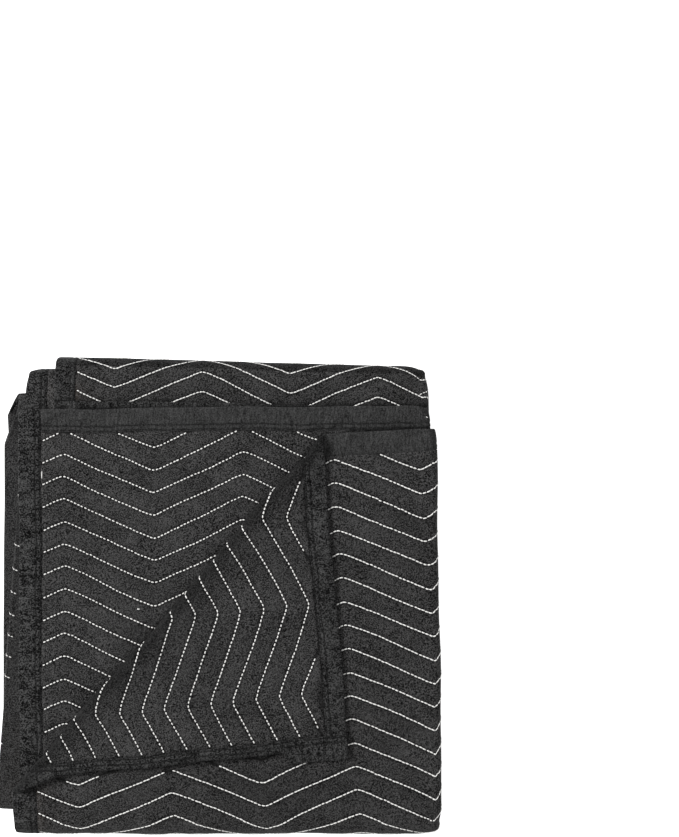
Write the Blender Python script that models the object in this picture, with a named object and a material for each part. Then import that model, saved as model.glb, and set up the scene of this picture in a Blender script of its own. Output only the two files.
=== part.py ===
"""Quilted moving pad, folded in quarters both ways, with one corner of its top leaf turned back.

The pad is one sheet. Across its width it is folded in half and in half again, which makes a bundle of
four layers. Along its length the bundle is folded the same way, so sixteen layers lie on each other.
The part frame has +X to the right, +Y away from the rolled front edge and +Z up. The origin is below
the middle of the pad, on the surface that it rests on.
"""
import math

import bmesh
import bpy
import numpy as np

# Cloth
LAYERS = 16
THICKNESS = 0.0038
LAYER_PITCH = 0.0045
BOUND_THICKNESS = 0.0020

# Folds: a crease is a half ellipse, this much shallower than round
SIDE_CREASE_ASPECT = 0.80
END_CREASE_ASPECT = 0.55
CREASE_STEPS = 8
TIGHT_CREASE_STEPS = 6

# Binding: a tape folded over the edge
TAPE_WIDTH = 0.0250
TAPE_WALL = 0.0006
TAPE_ROUND = 0.0006
CLEARANCE = 0.0003
STEP_RUN = 0.0001

# Quilting: zigzag rows of stitches, drawn into the faces that show
ROW_PITCH = 0.0253
FIRST_ROW = 0.0455
ROW_COUNT = 15
ZIGZAG_HALF_HEIGHT = 0.0206
GROOVE_DEPTH = 0.0011
SHOULDER_DEPTH = 0.00025
LINES_PER_ROW = 4
LINE_SQUEEZE = 0.0012
SIDE_A_FIRST_COLUMN = 0.066
SIDE_B_FIRST_COLUMN = 0.050
COLUMN_PITCH = 0.0995
COLUMN_COUNT = 4
FOLD_ROW_START = -0.018
FOLD_ROW_PITCH = 0.0215
FOLD_ROW_COUNT = 4

# Turned corner of the top leaf: a roll whose crest runs through this point in this direction
ROLL_RADIUS = 0.0040
ROLL_STEPS = 8
ROLL_CREST = (0.1157, 0.1765)
ROLL_ANGLE = math.radians(49.0)
SETTLE_RUN = 0.060
SETTLE_STEPS = 5

# Where the crease crossings of the folded sheet lie, each as its place (x, y) in metres. A row is an end
# or a crease across the sheet's length. The columns are side a, the outer right crease, the left
# fold, the inner right crease and side b.
CROSSINGS = {
    "end_a": ((-0.2390, 0.1535), (0.2330, 0.1830), (-0.2095, 0.2005), (0.2295, 0.2100), (-0.2170, 0.2055)),
    "front_outer": ((-0.2220, -0.2455), (0.2395, -0.2455), (-0.2135, -0.2425), (0.2355, -0.2455),
                    (-0.2160, -0.2440)),
    "back_fold": ((-0.1815, 0.2555), (0.2265, 0.2445), (-0.2365, 0.2105), (0.2225, 0.2445), (-0.2180, 0.2450)),
    "front_inner": ((-0.1965, -0.2245), (0.2345, -0.2405), (-0.2430, -0.2315), (0.2305, -0.2405),
                    (-0.2265, -0.2295)),
    "end_b": ((-0.1810, 0.2160), (0.2215, 0.2085), (-0.2120, 0.1995), (0.2175, 0.2035), (-0.2100, 0.2015)),
}
MAP = np.array(list(CROSSINGS.values()))

# Panels across the width and bundles along the length, in the order in which the sheet passes them
TOP_PANEL, BOTTOM_PANEL, THIRD_PANEL, SECOND_PANEL = range(4)
TOP_BUNDLE, BOTTOM_BUNDLE, THIRD_BUNDLE, SECOND_BUNDLE = range(4)

CHARCOAL = (0.030, 0.029, 0.030, 1.0)
BLACK_TAPE = (0.012, 0.012, 0.013, 1.0)


def clear_scene():
    """Remove every object that the start file holds."""
    for item in list(bpy.data.objects):
        bpy.data.objects.remove(item, do_unlink=True)


def cloth_material(name, colour, roughness):
    """Plain cloth finish."""
    material = bpy.data.materials.new(name)
    material.use_nodes = True
    shader = material.node_tree.nodes["Principled BSDF"]
    shader.inputs["Base Color"].default_value = colour
    shader.inputs["Roughness"].default_value = roughness
    shader.inputs["Metallic"].default_value = 0.0
    return material


class SideLine:
    """One line that runs the sheet's length: its panel, its fraction across it, and its place in a crease.

    depth = centre + turn * (radius + side * height) is how deep it lies in the bundle, and
    the crease pushes it sideways by sway * aspect * (radius + side * height).
    """

    def __init__(self, panel, fraction, sway, centre, turn, radius, side):
        self.panel = panel
        self.fraction = fraction
        self.sway = sway
        self.centre = centre * LAYER_PITCH
        self.turn = turn
        self.radius = radius * LAYER_PITCH
        self.side = side

    def reach(self, height):
        return self.radius + self.side * height

    def depth(self, height):
        return self.centre + self.turn * self.reach(height)


# A panel as it leaves the crease before it: centre, turn, radius (in layers) and side of its outer face
PANEL_LAY = {
    TOP_PANEL: (2, -1, 1.5, 1),
    BOTTOM_PANEL: (2, 1, 1.5, 1),
    THIRD_PANEL: (3, -1, 0.5, 1),
    SECOND_PANEL: (2, -1, 0.5, -1),
}

# Crease after a panel: centre, radius (in layers), side of the outer face, first turn and sway
SIDE_CREASES = {
    TOP_PANEL: (2, 1.5, 1, -1, 1, CREASE_STEPS),
    BOTTOM_PANEL: (3, 0.5, 1, 1, -1, TIGHT_CREASE_STEPS),
    THIRD_PANEL: (2, 0.5, -1, 1, 1, TIGHT_CREASE_STEPS),
}


def panel_line(panel, fraction):
    """A line on the flat of a panel."""
    centre, turn, radius, side = PANEL_LAY[panel]
    return SideLine(panel, fraction, 0.0, centre, turn, radius, side)


def side_crease_lines(panel):
    """The lines round the crease at the end of a panel, both tangent lines included."""
    centre, radius, side, turn, sway, steps = SIDE_CREASES[panel]
    angles = [math.pi * step / steps for step in range(steps + 1)]
    return [
        SideLine(panel, 1.0, sway * math.sin(angle), centre, turn * math.cos(angle), radius, side)
        for angle in angles
    ]


class EndLine:
    """One line that runs the sheet's width: its bundle, its fraction along it, and its place in a crease.

    A layer at the depth d of its bundle lies (centre + turn * (base + slope * d)) below the top. The
    fraction may be a function of the side line, so that a line can follow the zigzag.
    """

    def __init__(self, bundle, fraction, sway, centre, turn, base, slope, groove=0.0):
        self.bundle = bundle
        self.fraction = fraction
        self.sway = sway
        self.centre = centre * LAYER_PITCH
        self.turn = turn
        self.base = base * LAYER_PITCH
        self.slope = slope
        self.groove = groove

    def reach(self, depth):
        return self.base + self.slope * depth

    def fraction_at(self, line):
        if callable(self.fraction):
            return self.fraction(line)
        return self.fraction


# A bundle as it lies: centre, turn, base (in layers) and slope
BUNDLE_LAY = {
    TOP_BUNDLE: (8, -1, 8, -1),
    BOTTOM_BUNDLE: (8, 1, 8, -1),
    THIRD_BUNDLE: (12, -1, 4, -1),
    SECOND_BUNDLE: (8, -1, 0, 1),
}

# Crease after a bundle: centre, base (in layers), slope, first turn and sway
END_CREASES = {
    TOP_BUNDLE: (8, 8, -1, -1, -1, CREASE_STEPS),
    BOTTOM_BUNDLE: (12, 4, -1, 1, 1, CREASE_STEPS),
    THIRD_BUNDLE: (8, 0, 1, 1, -1, TIGHT_CREASE_STEPS),
}


def bundle_line(bundle, fraction, groove=0.0):
    """A line on the flat of a bundle."""
    centre, turn, base, slope = BUNDLE_LAY[bundle]
    return EndLine(bundle, fraction, 0.0, centre, turn, base, slope, groove)


def end_crease_lines(bundle):
    """The lines round the crease at the end of a bundle, both tangent lines included."""
    centre, base, slope, turn, sway, steps = END_CREASES[bundle]
    angles = [math.pi * step / steps for step in range(steps + 1)]
    return [
        EndLine(bundle, 1.0, sway * math.sin(angle), centre, turn * math.cos(angle), base, slope)
        for angle in angles
    ]


def run_length(panel, bundle):
    """Mean flat length of a bundle where the panel lies, and mean flat width of the panel there."""
    corners = MAP[bundle:bundle + 2, panel:panel + 2]
    length = np.linalg.norm(corners[1] - corners[0], axis=1).mean()
    width = np.linalg.norm(corners[:, 1] - corners[:, 0], axis=1).mean()
    return length, width


def panel_width(panel):
    """Flat width of a panel, the mean of the four bundles."""
    return np.mean([run_length(panel, bundle)[1] for bundle in range(4)])


def bundle_length(bundle):
    """Flat length of a bundle, the mean of the four panels."""
    return np.mean([run_length(panel, bundle)[0] for panel in range(4)])


def place(side_line, end_line, height):
    """Point of the folded sheet where a side line and an end line cross, height above its mid surface."""
    across = side_line.fraction
    along = end_line.fraction_at(side_line)
    corners = MAP[end_line.bundle:end_line.bundle + 2, side_line.panel:side_line.panel + 2]
    near = corners[0, 0] * (1 - across) + corners[0, 1] * across
    far = corners[1, 0] * (1 - across) + corners[1, 1] * across
    x, y = near * (1 - along) + far * along
    depth = side_line.depth(height)
    x += SIDE_CREASE_ASPECT * side_line.sway * side_line.reach(height)
    y += END_CREASE_ASPECT * end_line.sway * end_line.reach(depth)
    below = end_line.centre + end_line.turn * end_line.reach(depth)
    z = LAYERS * LAYER_PITCH - below - (LAYER_PITCH - THICKNESS) / 2
    return (x, y, z)


def zigzag(distance, first, pitch, start):
    """Triangle wave between -1 and 1 with a turn at each column; start is its value at the first one."""
    phase = (distance - first) / pitch
    nearest = math.floor(phase)
    swing = 1 - 2 * (phase - nearest)
    return start * swing * (1 if nearest % 2 == 0 else -1)


def row_wave(line):
    """The zigzag's value on a side line, measured from the edge that its panel ends at."""
    width = panel_width(line.panel)
    if line.panel == TOP_PANEL:
        return zigzag(line.fraction * width, SIDE_A_FIRST_COLUMN, COLUMN_PITCH, 1)
    if line.panel == SECOND_PANEL:
        return zigzag((1 - line.fraction) * width, SIDE_B_FIRST_COLUMN, COLUMN_PITCH, -1)
    return 0.0


def quilt_line(bundle, rank, count, distance, groove, floor):
    """A line that follows the zigzag at a distance from the start of a bundle's flat.

    Lines that would cross the floor, or the crease at the far end, are squeezed against it in order.
    """
    def fraction(line):
        length = run_length(line.panel, bundle)[0]
        free = distance + ZIGZAG_HALF_HEIGHT * row_wave(line)
        low = floor + LINE_SQUEEZE * (rank + 1)
        high = length - LINE_SQUEEZE * (count - rank)
        return min(max(free, low), high) / length

    return bundle_line(bundle, fraction, groove)


def quilt_lines(bundle, first, pitch, rows, floor):
    """Lines for the rows of one bundle: a groove at each stitch row, a shoulder each side, a crest."""
    depths = (GROOVE_DEPTH, SHOULDER_DEPTH, 0.0, SHOULDER_DEPTH)
    count = rows * LINES_PER_ROW
    return [
        quilt_line(bundle, rank, count, first + pitch * rank / LINES_PER_ROW, depths[rank % LINES_PER_ROW], floor)
        for rank in range(count)
    ]


def pad_side_lines():
    """The pad's lines along its length, from side a to side b, with the thinned edges in the tape."""
    width_a = panel_width(TOP_PANEL)
    width_b = panel_width(SECOND_PANEL)
    edge = TAPE_WALL + CLEARANCE
    step = TAPE_WIDTH + CLEARANCE
    columns_a = [SIDE_A_FIRST_COLUMN + COLUMN_PITCH * index for index in range(COLUMN_COUNT)]
    columns_b = [SIDE_B_FIRST_COLUMN + COLUMN_PITCH * index for index in range(COLUMN_COUNT)]
    lines = [panel_line(TOP_PANEL, distance / width_a) for distance in (edge, step, step + STEP_RUN, *columns_a)]
    for panel in (TOP_PANEL, BOTTOM_PANEL, THIRD_PANEL):
        lines += side_crease_lines(panel)
    near_b = (*reversed(columns_b), step + STEP_RUN, step, edge)
    lines += [panel_line(SECOND_PANEL, 1 - distance / width_b) for distance in near_b]
    return lines


def pad_end_lines():
    """The pad's lines across its width, from end a to end b."""
    length_a = bundle_length(TOP_BUNDLE)
    length_b = bundle_length(SECOND_BUNDLE)
    edge = TAPE_WALL + CLEARANCE
    step = TAPE_WIDTH + CLEARANCE
    lines = [bundle_line(TOP_BUNDLE, distance / length_a) for distance in (edge, step, step + STEP_RUN)]
    floor = step + 4 * STEP_RUN
    lines += quilt_lines(TOP_BUNDLE, FIRST_ROW - ROW_PITCH, ROW_PITCH, ROW_COUNT + 1, floor)
    lines += end_crease_lines(TOP_BUNDLE)
    lines += end_crease_lines(BOTTOM_BUNDLE)
    lines += quilt_lines(THIRD_BUNDLE, FOLD_ROW_START, FOLD_ROW_PITCH, FOLD_ROW_COUNT, 0.0)
    lines += end_crease_lines(THIRD_BUNDLE)
    lines += [bundle_line(SECOND_BUNDLE, 1 - distance / length_b) for distance in (step + STEP_RUN, step, edge)]
    return lines


def shows_quilting(side_line, end_line, face):
    """True where a face of the sheet shows: both faces of the top leaf, and two leaves under it."""
    if side_line.sway or end_line.sway:
        return False
    if end_line.bundle == TOP_BUNDLE and side_line.panel == TOP_PANEL:
        return True
    if end_line.bundle == TOP_BUNDLE and side_line.panel == SECOND_PANEL:
        return face < 0
    return end_line.bundle == THIRD_BUNDLE and side_line.panel == TOP_PANEL and face > 0


def pad_height(side_line, end_line, side_rank, end_rank, side_count, end_count, face):
    """Height of a face over the mid surface: thin in the tape, drawn in along the stitch rows."""
    bound = min(side_rank, side_count - 1 - side_rank, end_rank, end_count - 1 - end_rank) < 2
    if bound:
        return face * BOUND_THICKNESS / 2
    groove = end_line.groove if shows_quilting(side_line, end_line, face) else 0.0
    return face * (THICKNESS / 2 - groove)


def quad_faces(rows, columns, offset, flip):
    """Quads of a grid of points, row by row."""
    faces = []
    for row in range(rows - 1):
        for column in range(columns - 1):
            corner = offset + row * columns + column
            quad = (corner, corner + 1, corner + columns + 1, corner + columns)
            faces.append(tuple(reversed(quad)) if flip else quad)
    return faces


def rim_faces(rows, columns, offset):
    """Quads that close the outline of two like grids, the second of which starts at the offset."""
    loop = [column for column in range(columns)]
    loop += [row * columns + columns - 1 for row in range(1, rows)]
    loop += [(rows - 1) * columns + column for column in range(columns - 2, -1, -1)]
    loop += [row * columns for row in range(rows - 2, 0, -1)]
    pairs = zip(loop, loop[1:] + loop[:1])
    return [(first, second, second + offset, first + offset) for first, second in pairs]


def on_top_leaf(side_line, end_line):
    """True on the flat of the leaf that lies on top."""
    flat = side_line.sway == 0 and end_line.sway == 0
    lies_on_top = side_line.turn == -1 and end_line.turn == -1
    first = side_line.panel == TOP_PANEL and end_line.bundle == TOP_BUNDLE
    return flat and lies_on_top and first


def pad_mesh():
    """Points, faces and the top leaf's points of the pad."""
    sides = pad_side_lines()
    ends = pad_end_lines()
    points = []
    leaf = []
    for face in (1, -1):
        for end_rank, end_line in enumerate(ends):
            for side_rank, side_line in enumerate(sides):
                height = pad_height(side_line, end_line, side_rank, end_rank, len(sides), len(ends), face)
                points.append(place(side_line, end_line, height))
                leaf.append(on_top_leaf(side_line, end_line))
    offset = len(sides) * len(ends)
    faces = quad_faces(len(ends), len(sides), 0, True)
    faces += quad_faces(len(ends), len(sides), offset, False)
    faces += rim_faces(len(ends), len(sides), offset)
    return points, faces, leaf


def tape_profile():
    """Outline of the folded tape: (distance from the edge, height), once round."""
    half = THICKNESS / 2
    inner = BOUND_THICKNESS / 2 + CLEARANCE
    upper = [
        (0.0, half - TAPE_ROUND),
        (TAPE_ROUND / 3, half - TAPE_ROUND / 3),
        (TAPE_ROUND, half),
        (TAPE_WIDTH, half),
        (TAPE_WIDTH, inner),
        (TAPE_WALL, inner),
    ]
    return upper + [(distance, -height) for distance, height in reversed(upper)]


def strip_mesh(stations, flip):
    """Closed strip through a list of like rings of points."""
    count = len(stations[0])
    points = [point for ring in stations for point in ring]
    faces = []
    for ring in range(len(stations) - 1):
        for index in range(count):
            following = (index + 1) % count
            start = ring * count
            quad = (start + index, start + following, start + count + following, start + count + index)
            faces.append(tuple(reversed(quad)) if flip else quad)
    first = tuple(range(count))
    last = tuple(range((len(stations) - 1) * count, len(stations) * count))
    faces += [first, tuple(reversed(last))] if flip else [tuple(reversed(first)), last]
    return points, faces


def side_tape(panel):
    """Tape along a side: its profile on the panel, carried along every line of the length."""
    width = panel_width(panel)
    at_start = panel == TOP_PANEL
    length_a = bundle_length(TOP_BUNDLE)
    length_b = bundle_length(SECOND_BUNDLE)
    inset = CLEARANCE / 3
    ends = [bundle_line(TOP_BUNDLE, inset / length_a)]
    for bundle in (TOP_BUNDLE, BOTTOM_BUNDLE, THIRD_BUNDLE):
        ends += end_crease_lines(bundle)
    ends += [bundle_line(SECOND_BUNDLE, 1 - inset / length_b)]
    stations = []
    leaf = []
    for end_line in ends:
        ring = []
        for distance, height in tape_profile():
            fraction = distance / width if at_start else 1 - distance / width
            side_line = panel_line(panel, fraction)
            ring.append(place(side_line, end_line, height))
            leaf.append(on_top_leaf(side_line, end_line))
        stations.append(ring)
    points, faces = strip_mesh(stations, at_start)
    return points, faces, leaf


def end_tape(bundle):
    """Tape along an end: its profile on the bundle, carried along every line of the width."""
    length = bundle_length(bundle)
    at_start = bundle == TOP_BUNDLE
    width_a = panel_width(TOP_PANEL)
    width_b = panel_width(SECOND_PANEL)
    butt = TAPE_WIDTH + CLEARANCE
    sides = [panel_line(TOP_PANEL, butt / width_a)]
    for panel in (TOP_PANEL, BOTTOM_PANEL, THIRD_PANEL):
        sides += side_crease_lines(panel)
    sides += [panel_line(SECOND_PANEL, 1 - butt / width_b)]
    stations = []
    leaf = []
    for side_line in sides:
        ring = []
        for distance, height in tape_profile():
            fraction = distance / length if at_start else 1 - distance / length
            end_line = bundle_line(bundle, fraction)
            ring.append(place(side_line, end_line, height))
            leaf.append(on_top_leaf(side_line, end_line))
        stations.append(ring)
    points, faces = strip_mesh(stations, not at_start)
    return points, faces, leaf


def roll_frame():
    """A point on the line where the turned corner leaves the leaf, and the direction towards the corner."""
    towards = np.array((-math.sin(ROLL_ANGLE), math.cos(ROLL_ANGLE)))
    start = np.array(ROLL_CREST) - ROLL_RADIUS * towards
    return start, towards


def turned_back(point):
    """Place of a point of the top leaf once the corner is turned back over the roll."""
    start, towards = roll_frame()
    flat = np.array(point[:2])
    middle = (LAYERS - 1) * LAYER_PITCH + THICKNESS / 2
    height = point[2] - middle
    distance = float(np.dot(flat - start, towards))
    if distance <= 0:
        return tuple(point)
    foot = flat - distance * towards
    half_turn = math.pi * ROLL_RADIUS
    if distance < half_turn:
        angle = distance / ROLL_RADIUS
        reach = ROLL_RADIUS - height
        flat = foot + reach * math.sin(angle) * towards
        return (*flat, middle + ROLL_RADIUS - reach * math.cos(angle))
    beyond = distance - half_turn
    fall = min(beyond / SETTLE_RUN, 1.0)
    ease = fall * fall * (3 - 2 * fall)
    lift = 2 * ROLL_RADIUS + (LAYER_PITCH - 2 * ROLL_RADIUS) * ease
    flat = foot - beyond * towards
    return (*flat, middle + lift - height)


def turn_corner(mesh_points, faces, leaf):
    """Cut the top leaf along lines beside the roll, then turn its corner back."""
    shape = bmesh.new()
    marks = shape.verts.layers.int.new("leaf")
    vertices = [shape.verts.new(point) for point in mesh_points]
    for vertex, mark in zip(vertices, leaf):
        vertex[marks] = int(mark)
    for face in faces:
        shape.faces.new([vertices[index] for index in face])
    start, towards = roll_frame()
    half_turn = math.pi * ROLL_RADIUS
    cuts = [half_turn * step / ROLL_STEPS for step in range(ROLL_STEPS + 1)]
    cuts += [half_turn + SETTLE_RUN * step / SETTLE_STEPS for step in range(1, SETTLE_STEPS + 1)]
    for cut in cuts:
        foot = start + cut * towards
        region = [face for face in shape.faces if all(vertex[marks] for vertex in face.verts)]
        edges = {edge for face in region for edge in face.edges}
        corners = {vertex for face in region for vertex in face.verts}
        before = set(shape.verts)
        bmesh.ops.bisect_plane(
            shape, geom=[*corners, *edges, *region], dist=1e-7,
            plane_co=(*foot, 0.0), plane_no=(*towards, 0.0),
        )
        for vertex in shape.verts:
            if vertex not in before:
                vertex[marks] = 1
    for vertex in shape.verts:
        if vertex[marks]:
            vertex.co = turned_back(vertex.co)
    bmesh.ops.triangulate(shape, faces=shape.faces[:])
    return shape


def add_piece(name, parts, material):
    """Make an object of points, faces and marks, with its corner turned back."""
    shape = turn_corner(*parts)
    mesh = bpy.data.meshes.new(name)
    shape.to_mesh(mesh)
    shape.free()
    mesh.materials.append(material)
    piece = bpy.data.objects.new(name, mesh)
    bpy.context.scene.collection.objects.link(piece)
    return piece


def main():
    clear_scene()
    cloth = cloth_material("quilted_felt", CHARCOAL, 0.95)
    tape = cloth_material("binding_tape", BLACK_TAPE, 0.80)
    add_piece("pad", pad_mesh(), cloth)
    add_piece("binding_side_a", side_tape(TOP_PANEL), tape)
    add_piece("binding_side_b", side_tape(SECOND_PANEL), tape)
    add_piece("binding_end_a", end_tape(TOP_BUNDLE), tape)
    add_piece("binding_end_b", end_tape(SECOND_BUNDLE), tape)


main()
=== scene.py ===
"""Quilted moving pad, folded in quarters both ways, with one corner of its top leaf turned back.

Every piece is a surface of the folded sheet. A point of the sheet is given by its run across the width, its
run along the length and its height above the middle of the cloth. Even runs are flat leaves and odd runs
are creases, so 0 to 1 is the leaf that lies on top and 1 to 2 is the crease after it.
"""

import math

import bmesh
import bpy
import numpy as np
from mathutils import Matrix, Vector


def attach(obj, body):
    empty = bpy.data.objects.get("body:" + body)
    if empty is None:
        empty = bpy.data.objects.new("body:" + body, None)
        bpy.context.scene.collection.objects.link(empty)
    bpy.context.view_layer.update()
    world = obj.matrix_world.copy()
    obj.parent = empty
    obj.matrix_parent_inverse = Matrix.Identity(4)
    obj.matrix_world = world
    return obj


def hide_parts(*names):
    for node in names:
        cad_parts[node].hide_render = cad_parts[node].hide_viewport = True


bl_info = {
    "name": "Folded Moving Pad",
    "version": (1, 0, 0),
    "blender": (4, 5, 0),
    "location": "View3D > Sidebar > Moving Pad",
    "description": "Builds a folded quilted pad with bound edges, zigzag stitching and a plain stage",
    "category": "Object",
}

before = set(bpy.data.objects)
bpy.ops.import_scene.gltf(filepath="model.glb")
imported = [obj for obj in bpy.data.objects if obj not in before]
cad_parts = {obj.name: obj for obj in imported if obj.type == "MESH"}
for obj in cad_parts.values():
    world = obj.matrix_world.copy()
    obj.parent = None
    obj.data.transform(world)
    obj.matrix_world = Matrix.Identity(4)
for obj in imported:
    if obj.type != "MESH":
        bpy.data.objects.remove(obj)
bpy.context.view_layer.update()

LAYERS = 16
THICKNESS = 0.0038
LAYER_PITCH = 0.0045
BOUND_THICKNESS = 0.0020
SIDE_CREASE_ASPECT = 0.80
END_CREASE_ASPECT = 0.55
TAPE_WALL = 0.0006
CLEARANCE = 0.0003
CORNER_SPAN = 0.024

# How far each corner of a leaf is drawn in, a row for each end or crease along the length
CORNER_PULLS = np.array((
    (0.0010, 0.0020, 0.0034, 0.0034, 0.0012),
    (0.0012, 0.0030, 0.0034, 0.0034, 0.0034),
    (0.0004, 0.0034, 0.0010, 0.0034, 0.0030),
    (0.0034, 0.0034, 0.0020, 0.0034, 0.0034),
    (0.0010, 0.0034, 0.0034, 0.0034, 0.0034),
))

# Slip of one bundle over the next at the back corner of their second crease, and how far it reaches
SLIP = np.array((0.0155, 0.0240))
SLIP_START = 0.035
SLIP_RUN = 0.045

# Places of the crease crossings, a row for each end or crease along the length
CROSSINGS = np.array((
    ((-0.2393, 0.1595), (0.2328, 0.1855), (-0.2095, 0.2005), (0.2295, 0.2100), (-0.2170, 0.2055)),
    ((-0.2220, -0.2455), (0.2395, -0.2455), (-0.2135, -0.2425), (0.2355, -0.2455), (-0.2160, -0.2440)),
    ((-0.1843, 0.2560), (0.2265, 0.2445), (-0.2409, 0.2000), (0.2225, 0.2445), (-0.2180, 0.2450)),
    ((-0.1965, -0.2245), (0.2345, -0.2405), (-0.2430, -0.2315), (0.2305, -0.2405), (-0.2265, -0.2295)),
    ((-0.1810, 0.2160), (0.2215, 0.2085), (-0.2120, 0.1995), (0.2175, 0.2035), (-0.2100, 0.2015)),
))

# Runs across the width: panel, centre, radius, side of the outer face, first turn and sway
SIDE_RUNS = np.array((
    (0, 2, 1.5, 1, -1, 0), (0, 2, 1.5, 1, -1, 1),
    (1, 2, 1.5, 1, 1, 0), (1, 3, 0.5, 1, 1, -1),
    (2, 3, 0.5, 1, -1, 0), (2, 2, 0.5, -1, 1, 1),
    (3, 2, 0.5, -1, -1, 0),
))

# Runs along the length: bundle, centre, base, slope, first turn and sway
END_RUNS = np.array((
    (0, 8, 8, -1, -1, 0), (0, 8, 8, -1, -1, -1),
    (1, 8, 8, -1, 1, 0), (1, 12, 4, -1, 1, 1),
    (2, 12, 4, -1, -1, 0), (2, 8, 0, 1, 1, -1),
    (3, 8, 0, 1, -1, 0),
))
LAST_RUN = 7.0

# Roll of the turned corner: its radius, crest point, angle, and how far the flap takes to settle
ROLL_RADIUS = 0.0040
ROLL_CREST = np.array((0.1157, 0.1765))
ROLL_ANGLE = math.radians(49.0)
ROLL_ALONG = np.array((math.cos(ROLL_ANGLE), math.sin(ROLL_ANGLE)))
ROLL_TOWARDS = np.array((-math.sin(ROLL_ANGLE), math.cos(ROLL_ANGLE)))
ROLL_CUTS = (-0.0014, *[0.0013 * step for step in range(13)], 0.019, 0.024, 0.034, 0.048)
SETTLE_RUN = 0.030
TOP_MIDDLE = (LAYERS - 1) * LAYER_PITCH + THICKNESS / 2

# Edge of the turned corner, curled under: how far in, its roll's radius, and where it starts along the edge
CURL_WIDTH = 0.0180
CURL_RADIUS = 0.0022
CURL_START = 0.0640
CURL_EASE = 0.0160
CURL_LIFT_RUN = 0.045
TOP_WIDTH = 0.467

# Stitch rows of each quilted leaf: first row, row spacing, half height, first column, column spacing and how
# much that spacing grows for each metre from the end
TOP_ROWS = (0.0202, 0.0253, 0.0206, 0.0690, 0.0884, 0.0177)
UNDER_ROWS = (0.0218, 0.0247, 0.0213, 0.0500, 0.0976, 0.0)
BACK_ROWS = (-0.0180, 0.0215, 0.0205, 0.0705, 0.1039, 0.0)
LEAF_ROW_COUNT = 17
BACK_ROW_COUNT = 6
BACK_QUILTED = 0.110
EDGE_EXTRA = (0.0060, 0.0025, 0.0)
COLUMN_COUNT = 4
LINE_OFFSETS = (-0.0095, -0.0050, -0.0022, -0.0009, 0.0, 0.0009, 0.0022, 0.0050, 0.0095)
LINE_SQUEEZE = 0.00035


def run_parts(run, table):
    """Split runs into the rows of their table and the fractions along them."""
    index = np.clip(np.floor(run), 0, len(table) - 1).astype(int)
    return table[index], run - index, index % 2 == 1


def leaf_size(panel, bundle):
    """Flat width and length of a leaf."""
    corners = CROSSINGS[bundle:bundle + 2, panel:panel + 2]
    width = np.linalg.norm(corners[:, 1] - corners[:, 0], axis=1).mean()
    length = np.linalg.norm(corners[1] - corners[0], axis=1).mean()
    return width, length


PANEL_WIDTH = [np.mean([leaf_size(panel, bundle)[0] for bundle in range(4)]) for panel in range(4)]
BUNDLE_LENGTH = [np.mean([leaf_size(panel, bundle)[1] for panel in range(4)]) for bundle in range(4)]


def corner_shift(across, along, panel, bundle):
    """Draw each corner of a leaf in, by the square of how near a point is to it, so that it is rounded."""
    shift = np.zeros(across.shape + (2,))
    for right in (0, 1):
        for far in (0, 1):
            side = np.where(right, 1 - across, across) * PANEL_WIDTH[0]
            end = np.where(far, 1 - along, along) * BUNDLE_LENGTH[0]
            near = np.clip(1 - (side + end) / CORNER_SPAN, 0, 1) ** 2
            near = near * CORNER_PULLS[bundle + far, panel + right]
            shift[..., 0] += near * np.where((panel + right) % 2 == 0, 1, -1)
            shift[..., 1] += near * np.where((bundle + far) % 2 == 0, -1, 1)
    return shift


def slip(across, along, panel, bundle, round_crease):
    """Shift of places near the second crease's back corner: whole on the crease, gone past the slip's run."""
    nearness = np.where(panel == 1, across, np.where(panel == 2, 1 - across, 0.0))
    gone = 1 - ease((along - SLIP_START) / SLIP_RUN)
    amount = np.where(bundle == 2, gone, np.where(bundle == 1, ease(round_crease), 0.0))
    return (nearness * amount)[..., None] * SLIP


def fold(side, end, height):
    """Points of the folded sheet before its corner is turned back.

    The place is bilinear between the four crossings of the leaf. The depth in the bundle is the centre plus
    the turn times the radius and height, and the depth below the top follows from it in the same way along
    the length. In a crease the turn is a cosine and the sideways push a sine of the angle round it.
    """
    side, end, height = np.broadcast_arrays(side, end, height)
    side_row, side_part, side_bends = run_parts(side, SIDE_RUNS)
    end_row, end_part, end_bends = run_parts(end, END_RUNS)
    panel, centre, radius, outer, turn, sway = np.moveaxis(side_row, -1, 0)
    bundle, end_centre, base, slope, end_turn, end_sway = np.moveaxis(end_row, -1, 0)
    panel, bundle = panel.astype(int), bundle.astype(int)
    across = np.where(side_bends, 1.0, side_part)
    along = np.where(end_bends, 1.0, end_part)
    before, after = (1 - across)[..., None], across[..., None]
    near = CROSSINGS[bundle, panel] * before + CROSSINGS[bundle, panel + 1] * after
    far = CROSSINGS[bundle + 1, panel] * before + CROSSINGS[bundle + 1, panel + 1] * after
    place = near * (1 - along)[..., None] + far * along[..., None]
    place = place + corner_shift(across, along, panel, bundle)
    place = place + slip(across, along, panel, bundle, np.where(end_bends, end_part, 0.0))
    angle = np.where(side_bends, side_part * math.pi, 0.0)
    reach = radius * LAYER_PITCH + outer * height
    depth = centre * LAYER_PITCH + turn * np.cos(angle) * reach
    x = place[..., 0] + SIDE_CREASE_ASPECT * sway * np.sin(angle) * reach
    end_angle = np.where(end_bends, end_part * math.pi, 0.0)
    end_reach = base * LAYER_PITCH + slope * depth
    y = place[..., 1] + END_CREASE_ASPECT * end_sway * np.sin(end_angle) * end_reach
    below = end_centre * LAYER_PITCH + end_turn * np.cos(end_angle) * end_reach
    z = LAYERS * LAYER_PITCH - below - (LAYER_PITCH - THICKNESS) / 2
    return np.stack((x, y, z), axis=-1)


def waves(x, y, table):
    """Sum of plane waves: each row holds amplitude, wave numbers along x and y in radians a metre, phase."""
    return sum(size * np.sin(kx * x + ky * y + phase) for size, kx, ky, phase in table)


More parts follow.
